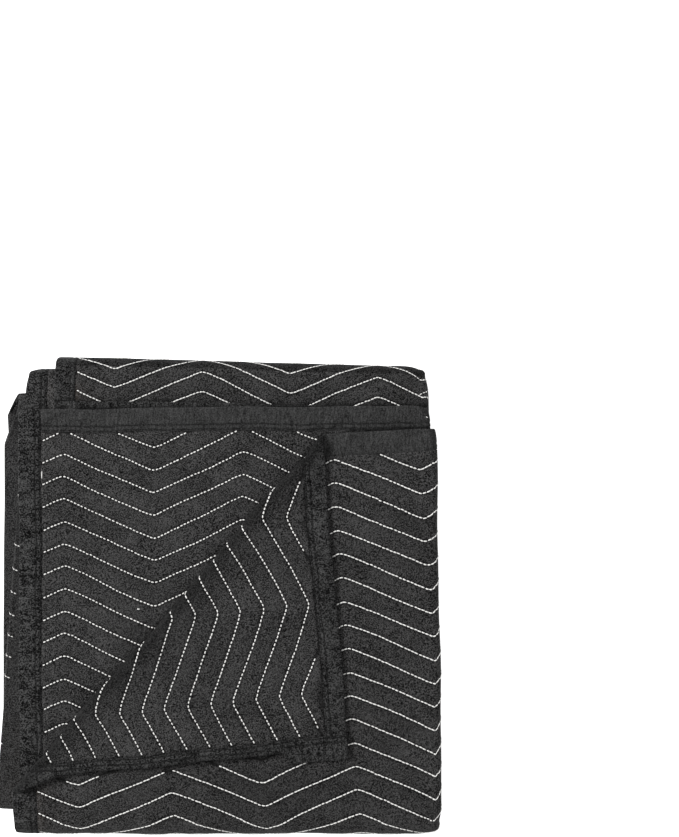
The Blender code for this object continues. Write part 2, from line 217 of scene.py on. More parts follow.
ROLL_WAVES = ((0.0009, 62.0, 0.0, 0.8), (0.0006, 121.0, 0.0, 2.1), (0.0013, 21.0, 0.0, 4.1))
SWELL_WAVES = ((0.0006, 31.0, 9.0, 0.4), (0.0005, -14.0, 37.0, 1.9), (0.0003, 58.0, 41.0, 0.9))
DRIFT_X_WAVES = ((0.0007, 8.0, 27.0, 0.3), (0.0004, 5.0, 61.0, 2.2))
DRIFT_Y_WAVES = ((0.0007, 24.0, 6.0, 1.3), (0.0005, 57.0, 9.0, 0.2))


def turn_back(points, turned):
    """Wrap the top leaf over the roll.

    Past the start line a point runs round a half circle of the roll, then back over the leaf and down to it.
    """
    flat = points[:, :2]
    start = ROLL_CREST - ROLL_RADIUS * ROLL_TOWARDS
    run = (flat - start) @ ROLL_ALONG
    distance = (flat - start) @ ROLL_TOWARDS
    height = points[:, 2] - TOP_MIDDLE
    foot = flat - distance[:, None] * ROLL_TOWARDS
    half_turn = math.pi * ROLL_RADIUS
    angle = np.clip(distance, 0, half_turn) / ROLL_RADIUS
    reach = ROLL_RADIUS - height
    beyond = np.maximum(distance - half_turn, 0)
    lift = 2 * ROLL_RADIUS + (LAYER_PITCH - 2 * ROLL_RADIUS) * ease(beyond / SETTLE_RUN)
    uneven = waves(run, 0.0, ROLL_WAVES) * np.sin(angle / 2) ** 2 * np.exp(-(beyond / 0.012) ** 2)
    round_it = reach * np.sin(angle) - beyond + uneven
    wrapped = np.empty_like(points)
    wrapped[:, :2] = foot + round_it[:, None] * ROLL_TOWARDS
    rolled = TOP_MIDDLE + ROLL_RADIUS - reach * np.cos(angle)
    wrapped[:, 2] = np.where(beyond > 0, TOP_MIDDLE + lift - height, rolled)
    moved = turned & (distance > 0)
    return np.where(moved[:, None], wrapped, points), np.where(turned, distance, 0.0)


def ease(value):
    """Smooth step from 0 to 1."""
    value = np.clip(value, 0, 1)
    return value * value * (3 - 2 * value)


def curl_amount(end, distance):
    """From 0 to 1: how far the turned corner's edge is curled under, nothing at its corner and the roll."""
    return ease((end * BUNDLE_LENGTH[0] - CURL_START) / CURL_EASE) * ease((distance - 0.008) / 0.030)


def curl_under(points, side, end, turned):
    """Roll the edge of the turned corner under it, in the same way as the corner is turned back."""
    inward = np.array((0.9992, 0.0400))
    start = ROLL_CREST - ROLL_RADIUS * ROLL_TOWARDS
    distance = (points[:, :2] - start) @ ROLL_TOWARDS
    amount = np.where(turned, curl_amount(end, distance), 0.0)
    past = amount * CURL_WIDTH - side * TOP_WIDTH
    height = points[:, 2] - TOP_MIDDLE
    half_turn = math.pi * CURL_RADIUS
    angle = np.clip(past, 0, half_turn) / CURL_RADIUS
    reach = CURL_RADIUS - height
    beyond = np.maximum(past - half_turn, 0)
    inwards = past - np.sin(angle) * reach + beyond
    curled = np.empty_like(points)
    curled[:, :2] = points[:, :2] + inwards[:, None] * inward
    rolled = TOP_MIDDLE + CURL_RADIUS - reach * np.cos(angle)
    curled[:, 2] = np.where(beyond > 0, TOP_MIDDLE + 2 * CURL_RADIUS - height, rolled)
    lift = 2 * CURL_RADIUS * amount * (1 - ease(-past / CURL_LIFT_RUN))
    return np.where((past > 0)[:, None], curled, points), lift


# Soft ridges of the top leaf: centre, direction, half length, half width and height, in metres and degrees
LEAF_RIDGES = (
    (-0.205, -0.196, 3.0, 0.026, 0.0042, 0.0030),
    (0.210, -0.214, -38.0, 0.030, 0.0090, 0.0012),
    (0.122, 0.150, 58.0, 0.012, 0.0022, 0.0012),
    (0.127, 0.158, 48.0, 0.012, 0.0020, 0.0010),
    (0.150, 0.165, 20.0, 0.020, 0.0030, 0.0008),
)

# The same on the turned corner
FLAP_RIDGES = (
    (0.095, -0.131, -32.0, 0.014, 0.0026, 0.0014),
    (0.120, -0.134, 3.0, 0.012, 0.0022, -0.0009),
    (0.106, -0.150, 5.0, 0.030, 0.0070, 0.0010),
    (0.070, -0.166, 70.0, 0.010, 0.0040, -0.0012),
    (0.118, 0.020, 88.0, 0.090, 0.0060, 0.0009),
    (0.098, 0.148, 62.0, 0.018, 0.0035, 0.0010),
    (0.020, -0.120, 3.0, 0.050, 0.0060, 0.0007),
)


# The same on the bound corner behind
BACK_RIDGES = (
    (-0.2090, 0.2300, 82.0, 0.016, 0.0016, 0.0008),
    (-0.2035, 0.2270, 86.0, 0.018, 0.0016, 0.0009),
    (-0.1980, 0.2260, 90.0, 0.018, 0.0015, 0.0007),
)


def ridges(x, y, table):
    """Sum of soft ridges, each a bell along and across its own line."""
    total = np.zeros_like(x)
    for centre_x, centre_y, degrees, length, width, height in table:
        turn = math.radians(degrees)
        along = (x - centre_x) * math.cos(turn) + (y - centre_y) * math.sin(turn)
        across = (y - centre_y) * math.cos(turn) - (x - centre_x) * math.sin(turn)
        total += height * np.exp(-(along / length) ** 2 - (across / width) ** 2)
    return total


# Wrinkles at the top leaf's front corner: a place on one of them, the middle of the fade, the lie in degrees
# with its change for each metre and where it is measured, the spacing, the height, the reach and a wobble
WRINKLE_PLACE = (-0.206, -0.216)
WRINKLE_MIDDLE = (-0.206, -0.218)
WRINKLE_LIE = (50.0, 500.0, -0.215)
WRINKLE_SPACING = 0.0050
WRINKLE_HEIGHT = 0.00065
WRINKLE_REACH = 0.020
WRINKLE_WOBBLE = (0.0007, 260.0)


def corner_wrinkles(x, y):
    """Slanting wrinkles at the top leaf's front corner.

    The height is a sine of the distance across them, which a slower sine wobbles. A bell over the corner
    fades it, and the lie turns evenly with the distance towards the front.
    """
    turn = np.radians(WRINKLE_LIE[0] - WRINKLE_LIE[1] * (y - WRINKLE_LIE[2]))
    across = (y - WRINKLE_PLACE[1]) * np.cos(turn) - (x - WRINKLE_PLACE[0]) * np.sin(turn)
    across = across + WRINKLE_WOBBLE[0] * np.sin((x + y) * WRINKLE_WOBBLE[1])
    fade = np.exp(-((x - WRINKLE_MIDDLE[0]) ** 2 + (y - WRINKLE_MIDDLE[1]) ** 2) / WRINKLE_REACH ** 2)
    return WRINKLE_HEIGHT * fade * np.sin(across * 2 * math.pi / WRINKLE_SPACING)


def settle(points, side, end):
    """Final places: turn the corner back, raise the ridges, then let the stack swell and drift a little."""
    shape = points.shape
    points = points.reshape(-1, 3)
    side, end = np.broadcast_arrays(side, end)
    turned = ((side <= 1.0) & (end <= 1.0)).reshape(-1)
    points, lift = curl_under(points, side.reshape(-1), end.reshape(-1), turned)
    points, distance = turn_back(points, turned)
    x, y, z = points.T
    lies = turned & (distance <= 0)
    laps = turned & (distance > math.pi * ROLL_RADIUS)
    over = np.clip(distance / 0.02 - 0.6, 0, 1)
    wrinkles = ridges(x, y, LEAF_RIDGES) + corner_wrinkles(x, y)
    rise = np.where(lies, wrinkles, 0.0) + np.where(laps, over * ridges(x, y, FLAP_RIDGES), 0.0)
    level = np.clip(z / (LAYERS * LAYER_PITCH), 0, 1)
    rise += level * waves(x, y, SWELL_WAVES) + np.where(laps, lift, 0.0)
    shift_x = level * waves(x + 0.8 * z, y + 0.6 * z, DRIFT_X_WAVES)
    shift_y = level * waves(x - 0.7 * z, y + 0.8 * z, DRIFT_Y_WAVES)
    back = (side.reshape(-1) >= 6) & (np.abs(end.reshape(-1) - 4.5) <= 0.5)
    rise += np.where(back, ridges(x, y, BACK_RIDGES), 0.0)
    points = points + np.stack((shift_x, shift_y, rise), axis=-1)
    points[:, 2] = np.maximum(points[:, 2], 0.0)
    return points.reshape(shape)


def zigzag(distance, first, pitch, start):
    """Triangle wave between -1 and 1 with slightly rounded turns; start is its value at the first column."""
    sharp = 0.995
    return start * np.arcsin(sharp * np.cos(math.pi * (distance - first) / pitch)) / math.asin(sharp)


def row_swing(distance, rows, line, start):
    """How far a stitch row swings from its line at a distance across; line is its distance from the end."""
    return rows[2] * zigzag(distance, rows[3], rows[4] + rows[5] * line, start)


def row_wander(side, row):
    """Slight unevenness of the sewing, the same for a row's thread and groove."""
    return 0.0005 * np.sin(17 * side + 1.9 * row) + 0.0003 * np.sin(41 * side - 0.7 * row)


def leaf_row(side, row):
    """Distance from the end of the sheet to a stitch row, which may be a fraction."""
    blend = np.clip((side - 1) / 5, 0, 1)
    first = TOP_ROWS[0] + (UNDER_ROWS[0] - TOP_ROWS[0]) * blend
    pitch = TOP_ROWS[1] + (UNDER_ROWS[1] - TOP_ROWS[1]) * blend
    line = first + pitch * row
    extra = np.interp(side, (0, 1, 2), EDGE_EXTRA)
    near = row_swing(np.minimum(side, 1) * PANEL_WIDTH[0], TOP_ROWS, line, 1)
    far = row_swing((LAST_RUN - np.maximum(side, 6)) * PANEL_WIDTH[3], UNDER_ROWS, line, -1)
    return line + extra + near * (1 - blend) + far * blend + row_wander(side, row)


def back_row(side, row):
    """Distance from the back crease to a stitch row of the leaf behind."""
    line = BACK_ROWS[0] + BACK_ROWS[1] * row
    return line + row_swing(np.minimum(side, 1) * PANEL_WIDTH[0], BACK_ROWS, line, 1) + row_wander(side, row)


def row_gap(distance, side, place_row, pitch):
    """Distance from a point to the nearest stitch row, by two steps towards the row number it would have."""
    row = (distance - place_row(side, 0.0)) / pitch
    row = row + (distance - place_row(side, row)) / pitch
    return np.abs(row - np.round(row)) * pitch


def leaf_length(side, bundle):
    """Flat length of a bundle at a run across the width, even between the panels."""
    lengths = [leaf_size(panel, bundle)[1] for panel in range(4) for _ in range(2)]
    return np.interp(side, range(8), lengths)


def edge_gap(side, end):
    """Distance to the nearest outer edge of the sheet."""
    gaps = (
        side * PANEL_WIDTH[0], (LAST_RUN - side) * PANEL_WIDTH[3],
        end * BUNDLE_LENGTH[0], (LAST_RUN - end) * BUNDLE_LENGTH[3],
    )
    return np.minimum.reduce(gaps)


def stitch_gap(side, end):
    """Distance to the nearest stitch row on the quilted leaves, and large elsewhere."""
    leaf = (end <= 1) & ((side <= 1) | (side >= 6))
    back = (end >= 4) & (end <= 5) & (side <= 1)
    near_a = end * leaf_length(side, 0)
    near_back = (end - 4) * leaf_length(side, 2)
    gap = np.full(np.shape(side), 1.0)
    gap = np.where(leaf, row_gap(near_a, side, leaf_row, TOP_ROWS[1]), gap)
    return np.where(back & (near_back < BACK_QUILTED), row_gap(near_back, side, back_row, BACK_ROWS[1]), gap)


def crease_fade(side, end):
    """From 0 at a crease or an edge of the quilting to 1 on the flat of a leaf."""
    part = np.minimum(side % 1, 1 - side % 1) * PANEL_WIDTH[0]
    part = np.where(side >= 6, (side - 6) * PANEL_WIDTH[3], part)
    part = np.where(side <= 1, (1 - side) * PANEL_WIDTH[0], part)
    lengthwise = np.where(end <= 1, (1 - end) * BUNDLE_LENGTH[0], (end - 4) * BUNDLE_LENGTH[2])
    return np.clip(np.minimum(part, lengthwise) / 0.005, 0, 1)


def quilt_depth(side, end, sizes):
    """How far the cloth is drawn in: a bell across each stitch row, and a low swell between rows."""
    gap = stitch_gap(side, end)
    bell = np.exp(-(gap / sizes.groove_width) ** 1.3) * crease_fade(side, end)
    swell = np.clip(gap / (TOP_ROWS[1] / 2), 0, 1)
    uneven = 0.85 + 0.15 * np.sin(90 * side + 61 * end) * np.sin(57 * end - 33 * side)
    puffed = sizes.puff * np.sin(swell * math.pi / 2) * crease_fade(side, end)
    return sizes.groove_depth * bell * uneven - puffed


def cloth_height(side, end, face, sizes):
    """Height of a face of the cloth: thin in the binding, drawn in along the rows of the open quilting."""
    step = sizes.tape_width + CLEARANCE
    shows = (end <= 1) & (side <= 1)
    shows = shows | ((end <= 1) & (side >= 6) & (face < 0))
    shows = shows | ((end >= 4) & (end <= 5) & (side <= 1) & (face > 0))
    depth = np.where(shows, quilt_depth(side, end, sizes), 0.0)
    half = np.where(edge_gap(side, end) < step + 0.00005, BOUND_THICKNESS / 2, THICKNESS / 2 - depth)
    return face * half


def even_steps(anchors, pitch):
    """Values from the first anchor to the last, with every anchor among them and no step over the pitch."""
    parts = [
        np.linspace(low, high, max(1, math.ceil((high - low) / pitch)), endpoint=False)
        for low, high in zip(anchors[:-1], anchors[1:])
    ]
    return np.concatenate((*parts, anchors[-1:]))


def columns(rows):
    """Places of the turns of the stitch rows across a leaf."""
    spacing = rows[4] + rows[5] * BUNDLE_LENGTH[0] / 2
    return [rows[3] + spacing * index for index in range(COLUMN_COUNT)]


def side_lines(sizes):
    """Runs of the cloth's lines along its length: fine on the leaves that show, coarse on the hidden ones."""
    step = sizes.tape_width + CLEARANCE
    edges = np.array((*np.linspace(TAPE_WALL + CLEARANCE, step, 17), step + 0.0001))
    turns = np.sort([edges[-1], *columns(TOP_ROWS), *columns(BACK_ROWS), PANEL_WIDTH[0]])
    top = even_steps(turns, sizes.cell)
    under = even_steps(np.sort([edges[-1], *columns(UNDER_ROWS), PANEL_WIDTH[3]]), sizes.cell)
    top = np.concatenate((edges[:-1], top)) / PANEL_WIDTH[0]
    under = LAST_RUN - np.concatenate((edges[:1], edges[-2:-1], under))[::-1] / PANEL_WIDTH[3]
    middle = np.arange(1, 40) / 8 + 1
    return np.concatenate((top, middle, under))


def row_lines(side, place_row, count, pitch, low, high):
    """Lines beside each stitch row, squeezed in order against the limits: an array of lines by sides."""
    offsets = np.array(LINE_OFFSETS)
    rank = np.arange(count * len(offsets))[:, None]
    row = rank // len(offsets)
    free = place_row(side[None], row) + offsets[rank % len(offsets)]
    return np.clip(free, low + LINE_SQUEEZE * (rank + 1), high - LINE_SQUEEZE * (len(rank) - rank))


def end_lines(side, sizes):
    """Runs of the cloth's lines across its width, an array of lines by sides."""
    step = sizes.tape_width + CLEARANCE
    edges = np.array((TAPE_WALL + CLEARANCE, step, step + 0.0001))[:, None]
    level = np.ones_like(side)
    near = row_lines(side, leaf_row, LEAF_ROW_COUNT, TOP_ROWS[1], step + 0.0004, leaf_length(side, 0))
    back = row_lines(side, back_row, BACK_ROW_COUNT, BACK_ROWS[1], 0.0, BACK_QUILTED)
    rest = np.linspace(BACK_QUILTED / BUNDLE_LENGTH[2], 1, 8)[:, None]
    return np.concatenate((
        edges / BUNDLE_LENGTH[0] * level,
        near / leaf_length(side, 0),
        (1 + np.arange(0, 25) / 8)[:, None] * level,
        4 - (np.arange(7)[::-1] / 8)[:, None] * level,
        4 + back / leaf_length(side, 2),
        4 + rest * level,
        (5 + np.arange(1, 17) / 8)[:, None] * level,
        LAST_RUN - edges[::-1] / BUNDLE_LENGTH[3] * level,
    ))


def flats(runs):
    """First and last line of each of the four flat runs."""
    return [(int(np.argmax(runs >= 2 * flat)), int(len(runs) - 1 - np.argmax(runs[::-1] <= 2 * flat + 1)))
            for flat in range(4)]


def coarse_polygons(rows, cols, width, cells=7):
    """Polygons over a hidden leaf: a few cells, which take every point of the leaf's outline."""
    row_cuts = np.unique(np.linspace(rows[0], rows[1], cells + 1).round().astype(int))
    col_cuts = np.unique(np.linspace(cols[0], cols[1], cells + 1).round().astype(int))

    def steps(low, high, on_border):
        return list(range(low, high)) if on_border else [low]

    polygons = []
    for low_row, high_row in zip(row_cuts[:-1], row_cuts[1:]):
        for low_col, high_col in zip(col_cuts[:-1], col_cuts[1:]):
            loop = [(low_row, col) for col in steps(low_col, high_col, low_row == rows[0])]
            loop += [(row, high_col) for row in steps(low_row, high_row, high_col == cols[1])]
            back = steps(low_col, high_col, high_row == rows[1])
            loop += [(high_row, low_col + high_col - col) for col in back]
            down = steps(low_row, high_row, low_col == cols[0])
            loop += [(low_row + high_row - row, low_col) for row in down]
            polygons.append([int(row * width + col) for row, col in loop])
    return polygons


def cloth_faces(side, end):
    """Polygons of both faces of the cloth and of its rim, over two like grids of points."""
    rows, cols = end.shape
    grid = np.arange(rows * cols).reshape(rows, cols)
    quads = np.stack((grid[:-1, :-1], grid[:-1, 1:], grid[1:, 1:], grid[1:, :-1]), axis=-1)
    side_flats = flats(side)
    end_flats = flats(end[:, 0])
    shown = {1: {(0, 0), (0, 2)}, -1: {(0, 0), (3, 0)}}
    polygons = []
    for face, offset in ((1, 0), (-1, rows * cols)):
        fine = np.ones((rows - 1, cols - 1), dtype=bool)
        hidden = []
        for panel, (low_col, high_col) in enumerate(side_flats):
            for bundle, (low_row, high_row) in enumerate(end_flats):
                if (panel, bundle) in shown[face]:
                    continue
                fine[low_row:high_row, low_col:high_col] = False
                hidden += coarse_polygons((low_row, high_row), (low_col, high_col), cols)
        loops = quads[fine].tolist() + hidden
        if face > 0:
            loops = [loop[::-1] for loop in loops]
        polygons += [[point + offset for point in loop] for loop in loops]
    loop = np.concatenate((grid[0], grid[1:, -1], grid[-1, -2::-1], grid[-2:0:-1, 0]))
    rim = np.stack((loop, np.roll(loop, -1), np.roll(loop, -1) + rows * cols, loop + rows * cols), axis=-1)
    return polygons + rim.tolist()


def new_piece(name, points, polygons, values=None):
    """Object at the origin from points, polygons and named values of its points, shaded smooth."""
    mesh = bpy.data.meshes.new(name)
    mesh.from_pydata(np.asarray(points).tolist(), [], polygons)
    for key, numbers in (values or {}).items():
        layer = mesh.attributes.new(key, "FLOAT", "POINT")
        layer.data.foreach_set("value", np.ascontiguousarray(numbers, dtype=np.float32).ravel())
    mesh.polygons.foreach_set("use_smooth", np.ones(len(mesh.polygons), dtype=bool))
    mesh.update()
    piece = bpy.data.objects.new(name, mesh)
    bpy.context.scene.collection.objects.link(piece)
    return piece


def cut_beside_roll(mesh):
    """Cut the top leaf along lines beside the roll, so that it bends there evenly."""
    corner = np.empty(len(mesh.loops), dtype=np.int32)
    mesh.loops.foreach_get("vertex_index", corner)
    first = np.empty(len(mesh.polygons), dtype=np.int32)
    mesh.polygons.foreach_get("loop_start", first)
    inside = (point_values(mesh, "side") <= 1) & (point_values(mesh, "end") <= 1)
    whole = np.logical_and.reduceat(inside[corner], first)
    shape = bmesh.new()
    shape.from_mesh(mesh)
    shape.faces.ensure_lookup_table()
    leaf = [shape.faces[index] for index in np.flatnonzero(whole).tolist()]
    edges = {edge for face in leaf for edge in face.edges}
    corners = {vertex for face in leaf for vertex in face.verts}
    region = [*corners, *edges, *leaf]
    start = ROLL_CREST - ROLL_RADIUS * ROLL_TOWARDS
    for cut in ROLL_CUTS:
        foot = start + cut * ROLL_TOWARDS
        region = bmesh.ops.bisect_plane(
            shape, geom=region, dist=1e-6, plane_co=(*foot, 0.0), plane_no=(*ROLL_TOWARDS, 0.0),
        )["geom"]
    shape.to_mesh(mesh)
    shape.free()


def point_values(mesh, key):
    """Named values of a mesh's points."""
    numbers = np.empty(len(mesh.vertices), dtype=np.float32)
    mesh.attributes[key].data.foreach_get("value", numbers)
    return numbers.astype(float)


def set_point_values(mesh, key, numbers):
    """Write named values of a mesh's points."""
    layer = mesh.attributes.get(key) or mesh.attributes.new(key, "FLOAT", "POINT")
    layer.data.foreach_set("value", numbers.astype(np.float32))


def past_line(points, first, second):
    """Distance of places to the left of the line from one crease crossing to another."""
    start, finish = CROSSINGS[first], CROSSINGS[second]
    ahead = (finish - start) / np.linalg.norm(finish - start)
    apart = points[:, :2] - start
    return ahead[0] * apart[:, 1] - ahead[1] * apart[:, 0]


# Painted shade beside overlapping edges, each as its width and depth
ROLL_PAINTED_SHADE = ((0.0022, 0.90), (0.0080, 0.40))
TOP_EDGE_PAINTED_SHADOW = (0.0018, 0.85)
UNDER_EDGE_PAINTED_SHADOW = (0.0024, 0.85)
SECOND_LEAF_PAINTED_SHADOW = (0.0018, 0.70)
BACK_LEAF_PAINTED_SHADOW = (0.0026, 0.70)
# Painted shade on the turned corner past its fold: its width and depth
CORNER_PAINTED_SHADE = (0.0135, 0.68)
# Painted shade on the left strip: how far back it goes, its evenly dark part, and each band's place, width
# and depth
STRIP_BACK = 0.203
STRIP_PAINTED_SHADE = 0.28
STRIP_SHADE_BANDS = ((0.0045, 0.0024, 0.85), (0.0150, 0.0014, 0.80))
# Two sways of the bands: height, turns and start
STRIP_SWAYS = ((0.0007, 47.0, 0.0), (0.0005, 131.0, 1.0))
# Patches of painted shade on the top leaf: middle, reach to the right and back, and depth
PAINTED_SHADE_SPOT = (0.0724, -0.1746, 0.0028, 0.0028, 0.80)
PAINTED_SHADE_PATCH = (0.052, -0.215, 0.060, 0.030, 0.28)


def patch_dark(points, patch):
    """A patch's depth, fading from its middle as a bell that reaches differently to the right and back."""
    right, back = (points[:, 0] - patch[0]) / patch[2], (points[:, 1] - patch[1]) / patch[3]
    return patch[4] * np.exp(-(right ** 2) - back ** 2)


def painted_shade(points, side, end):
    """From 0 to 1: how much painted shade a place gets in the hollow beside an edge that overlaps it.

    Beside an edge the dark falls off as an exponential of the distance. Past the turned corner's fold, in the
    strip's bands and in the patches it is a bell. The darkest of them all counts.
    """
    def beside(distance, shade_hollow, where):
        width, depth = shade_hollow
        return np.where(where & (distance > -0.003), depth * np.exp(-np.maximum(distance, 0) / width), 0.0)

    points, side, end = points.reshape(-1, 3), side.reshape(-1), end.reshape(-1)
    under = (side >= 6) & (end <= 1)
    top = (side <= 1) & (end <= 1)
    low = ~top & ~under
    before_crest = points[:, 0] < ROLL_CREST[0]
    ahead = (points[:, :2] - ROLL_CREST) @ ROLL_TOWARDS
    beyond = np.where(top, roll_distance(side, end) - 0.5 * math.pi * ROLL_RADIUS, -1.0)
    left = past_line(points, (1, 4), (0, 4))
    strip = low & (left > 0) & (points[:, 1] < STRIP_BACK)
    sway = sum(height * np.sin(points[:, 1] * turns + start) for height, turns, start in STRIP_SWAYS)
    dark = [
        *(beside(ahead, shade_hollow, under & before_crest) for shade_hollow in ROLL_PAINTED_SHADE),
        np.where(beyond > 0, CORNER_PAINTED_SHADE[1] * np.exp(-(beyond / CORNER_PAINTED_SHADE[0]) ** 2), 0.0),
        beside(past_line(points, (0, 0), (0, 1)), TOP_EDGE_PAINTED_SHADOW, under & ~before_crest),
        beside(past_line(points, (0, 4), (0, 3)), UNDER_EDGE_PAINTED_SHADOW, low),
        beside(past_line(points, (4, 0), (4, 1)), SECOND_LEAF_PAINTED_SHADOW, low & (end < 6) & (side <= 1)),
        beside(past_line(points, (3, 0), (2, 0)), BACK_LEAF_PAINTED_SHADOW, low & (side > 1)),
        *(
            np.where(strip, depth * np.exp(-((left - place - sway) / width) ** 2), 0.0)
            for place, width, depth in STRIP_SHADE_BANDS
        ),
        np.where(strip, STRIP_PAINTED_SHADE, 0.0),
        np.where(top & (beyond > 0), patch_dark(points, PAINTED_SHADE_SPOT), 0.0),
        np.where(top, patch_dark(points, PAINTED_SHADE_PATCH), 0.0),
    ]
    return np.maximum.reduce(dark)


# Warm stains: place and reach
STAINS = ((-0.200, -0.234, 0.024), (-0.208, 0.198, 0.018), (-0.170, 0.2150, 0.024), (-0.212, -0.214, 0.016))


def build_cloth(sizes):
    """The quilted cloth.

    Lines along the length cross lines that keep beside the stitch rows. Each crossing gives a point of the
    outer and of the inner face. The top leaf is cut beside the roll and then wrapped over it.
    """
    side = side_lines(sizes)
    end = end_lines(side, sizes)
    sides = np.broadcast_to(side, end.shape)
    points = np.concatenate([
        fold(sides, end, cloth_height(sides, end, face, sizes)).reshape(-1, 3) for face in (1, -1)
    ])
    polygons = cloth_faces(side, end)
    used = np.unique(np.concatenate([np.asarray(polygon) for polygon in polygons]))
    place = np.full(len(points), -1)
    place[used] = np.arange(len(used))
    polygons = [place[polygon].tolist() for polygon in polygons]
    both_sides = np.concatenate((sides.ravel(), sides.ravel()))[used]
    both_ends = np.concatenate((end.ravel(), end.ravel()))[used]
    cloth = new_piece("quilted_cloth", points[used], polygons, {"side": both_sides, "end": both_ends})
    mesh = cloth.data
    cut_beside_roll(mesh)
    side, end = point_values(mesh, "side"), point_values(mesh, "end")
    points = np.empty(len(mesh.vertices) * 3, dtype=np.float32)
    mesh.vertices.foreach_get("co", points)
    points = settle(points.reshape(-1, 3).astype(float), side, end)
    mesh.vertices.foreach_set("co", points.astype(np.float32).ravel())
    gap = stitch_gap(side, end)
    # Painted shade along the grooves of the stitch rows
    set_point_values(mesh, "seam", np.exp(-(gap / 0.0021) ** 2) * crease_fade(side, end))
    warm = sum(
        np.exp(-((points[:, 0] - x) ** 2 + (points[:, 1] - y) ** 2) / size ** 2) for x, y, size in STAINS
    )
    set_point_values(mesh, "warm", np.clip(warm, 0, 1) * (points[:, 2] > 0.03))
    # Painted shade beside overlapping edges, past the turned corner's fold, on the left strip and in patches
    set_point_values(mesh, "shade_hollow", painted_shade(points, side, end))
    mesh.polygons.foreach_set("use_smooth", np.ones(len(mesh.polygons), dtype=bool))
    mesh.update()
    return cloth


SIDE_ARC = (0.0245, 0.0105, 0.0095)
END_ARC = (0.0810, 0.0430, 0.0170)


def top_runs(across, along):
    """Runs of a place on the top leaf, by its distances from side a and end a, and round its creases."""
    width = PANEL_WIDTH[0]
    side = np.where(across <= width, across / width, 1 + (across - width) / SIDE_ARC[0])
    length = leaf_length(side, 0)
    return side, np.where(along <= length, along / length, 1 + (along - length) / END_ARC[0])


def under_runs(across, along):
    """Runs of a place on the leaf under the top one, by its distances from side b and end a."""
    side = LAST_RUN - across / PANEL_WIDTH[3]
    return side, along / leaf_length(side, 0)


def back_runs(across, along):
    """Runs of a place on the leaf behind, by its distances from side a and the back crease."""
    width = PANEL_WIDTH[0]
    side = np.where(across <= width, across / width, 1 + (across - width) / SIDE_ARC[0])
    return side, np.where(along >= 0, 4 + along / leaf_length(side, 2), 4 + along / END_ARC[1])


def low_runs(across, along):
    """Runs of a place on the second leaf from the back, by its distances from side a and end b."""
    side = across / PANEL_WIDTH[0]
    return side, LAST_RUN - along / BUNDLE_LENGTH[3]


def low_under_runs(across, along):
    """Runs of a place on the leaf below the one behind, by its distances from side b and the back crease."""
    side = LAST_RUN - across / PANEL_WIDTH[3]
    return side, 4 + along / leaf_length(side, 2)


def roll_distance(side, end):
    """Distance past the start of the roll, measured on the flat leaf."""
    flat = fold(side, end, 0.0)[..., :2]
    return (flat - ROLL_CREST + ROLL_RADIUS * ROLL_TOWARDS) @ ROLL_TOWARDS


RING_PLACES = np.array((-1.0, -0.62, 0.0, 0.62, 1.0))
RING_WIDTHS = np.array((0.42, 0.92, 1.0, 0.92, 0.42))
RING_LEVELS = np.array((-1.0, -0.15, 0.12, -0.15, -1.0))
RING_POINTS = 6


class Stitch:
    """Sizes of one kind of stitch: pitch, length, width, thickness and how far its ends sink."""

    def __init__(self, pitch, length, width, thickness, sink):
        self.pitch = pitch
        self.length = length
        self.width = width
        self.thickness = thickness
        self.sink = sink


def stitch_rings(across, along, to_runs, face, base, stitch, keep, random):
    """Rings of the stitches along one line of the sheet, as runs and heights.

    Each stitch is a flattened tube of five rings that follows the line. Its ends are thinner and sink into
    the cloth. base gives the cloth's height at a place, and keep says which places show.
    """
    reach = np.concatenate(((0.0,), np.cumsum(np.hypot(np.diff(across), np.diff(along)))))
    count = int(reach[-1] / stitch.pitch)
    middle = (np.arange(count) + 0.5 + random.normal(0, 0.05, count)) * stitch.pitch
    length = stitch.length * random.uniform(0.86, 1.08, count)
    shift = random.normal(0, 0.00014, count)
    centre = to_runs(np.interp(middle, reach, across), np.interp(middle, reach, along))
    shown = keep(*centre)
    middle, length, shift = middle[shown], length[shown], shift[shown]
    arc = middle[:, None] + 0.5 * length[:, None] * RING_PLACES
    place = np.interp(arc, reach, across), np.interp(arc, reach, along)
    ahead = np.interp(arc + 0.0005, reach, across), np.interp(arc + 0.0005, reach, along)
    behind = np.interp(arc - 0.0005, reach, across), np.interp(arc - 0.0005, reach, along)
    run_x, run_y = ahead[0] - behind[0], ahead[1] - behind[1]
    size = np.hypot(run_x, run_y)
    angle = np.arange(RING_POINTS) * 2 * math.pi / RING_POINTS
    width = stitch.width / 2 * RING_WIDTHS[:, None] * np.cos(angle) + shift[:, None, None]
    side, end = to_runs(
        place[0][..., None] - (run_y / size)[..., None] * width,
        place[1][..., None] + (run_x / size)[..., None] * width,
    )
    middle_side, middle_end = to_runs(*place)
    level = base(middle_side, middle_end) + face * stitch.sink * RING_LEVELS
    height = level[..., None] + face * stitch.thickness / 2 * (0.6 + RING_WIDTHS[:, None] * np.sin(angle))
    return np.stack((side, end, np.broadcast_to(height, side.shape)), axis=-1)


def stitch_piece(name, rings):
    """Join the stitches of many lines in one piece: quads between the rings and a cap at each end."""
    rings = np.concatenate(rings)
    side, end, height = np.moveaxis(rings, -1, 0)
    points = settle(fold(side, end, height), side, end)
    stitches, levels, around = side.shape
    grid = np.arange(stitches * levels * around).reshape(stitches, levels, around)
    nearer, farther = grid[:, :-1], grid[:, 1:]
    quads = np.stack((nearer, np.roll(nearer, -1, axis=2), np.roll(farther, -1, axis=2), farther), axis=-1)
    caps = grid[:, 0, ::-1].tolist() + grid[:, -1].tolist()
    return new_piece(name, points.reshape(-1, 3), quads.reshape(-1, 4).tolist() + caps)


def always(side, end):
    """Every place of a line."""
    return np.ones(np.shape(side), dtype=bool)


def row_paths(first, last, start, finish, place_row, to_runs):
    """Lines of the stitch rows: distances across and along, from start to finish across."""
    across = np.linspace(start, finish, 700)
    side = to_runs(across, np.zeros_like(across))[0]
    return [(across, place_row(side, row)) for row in range(first, last)]


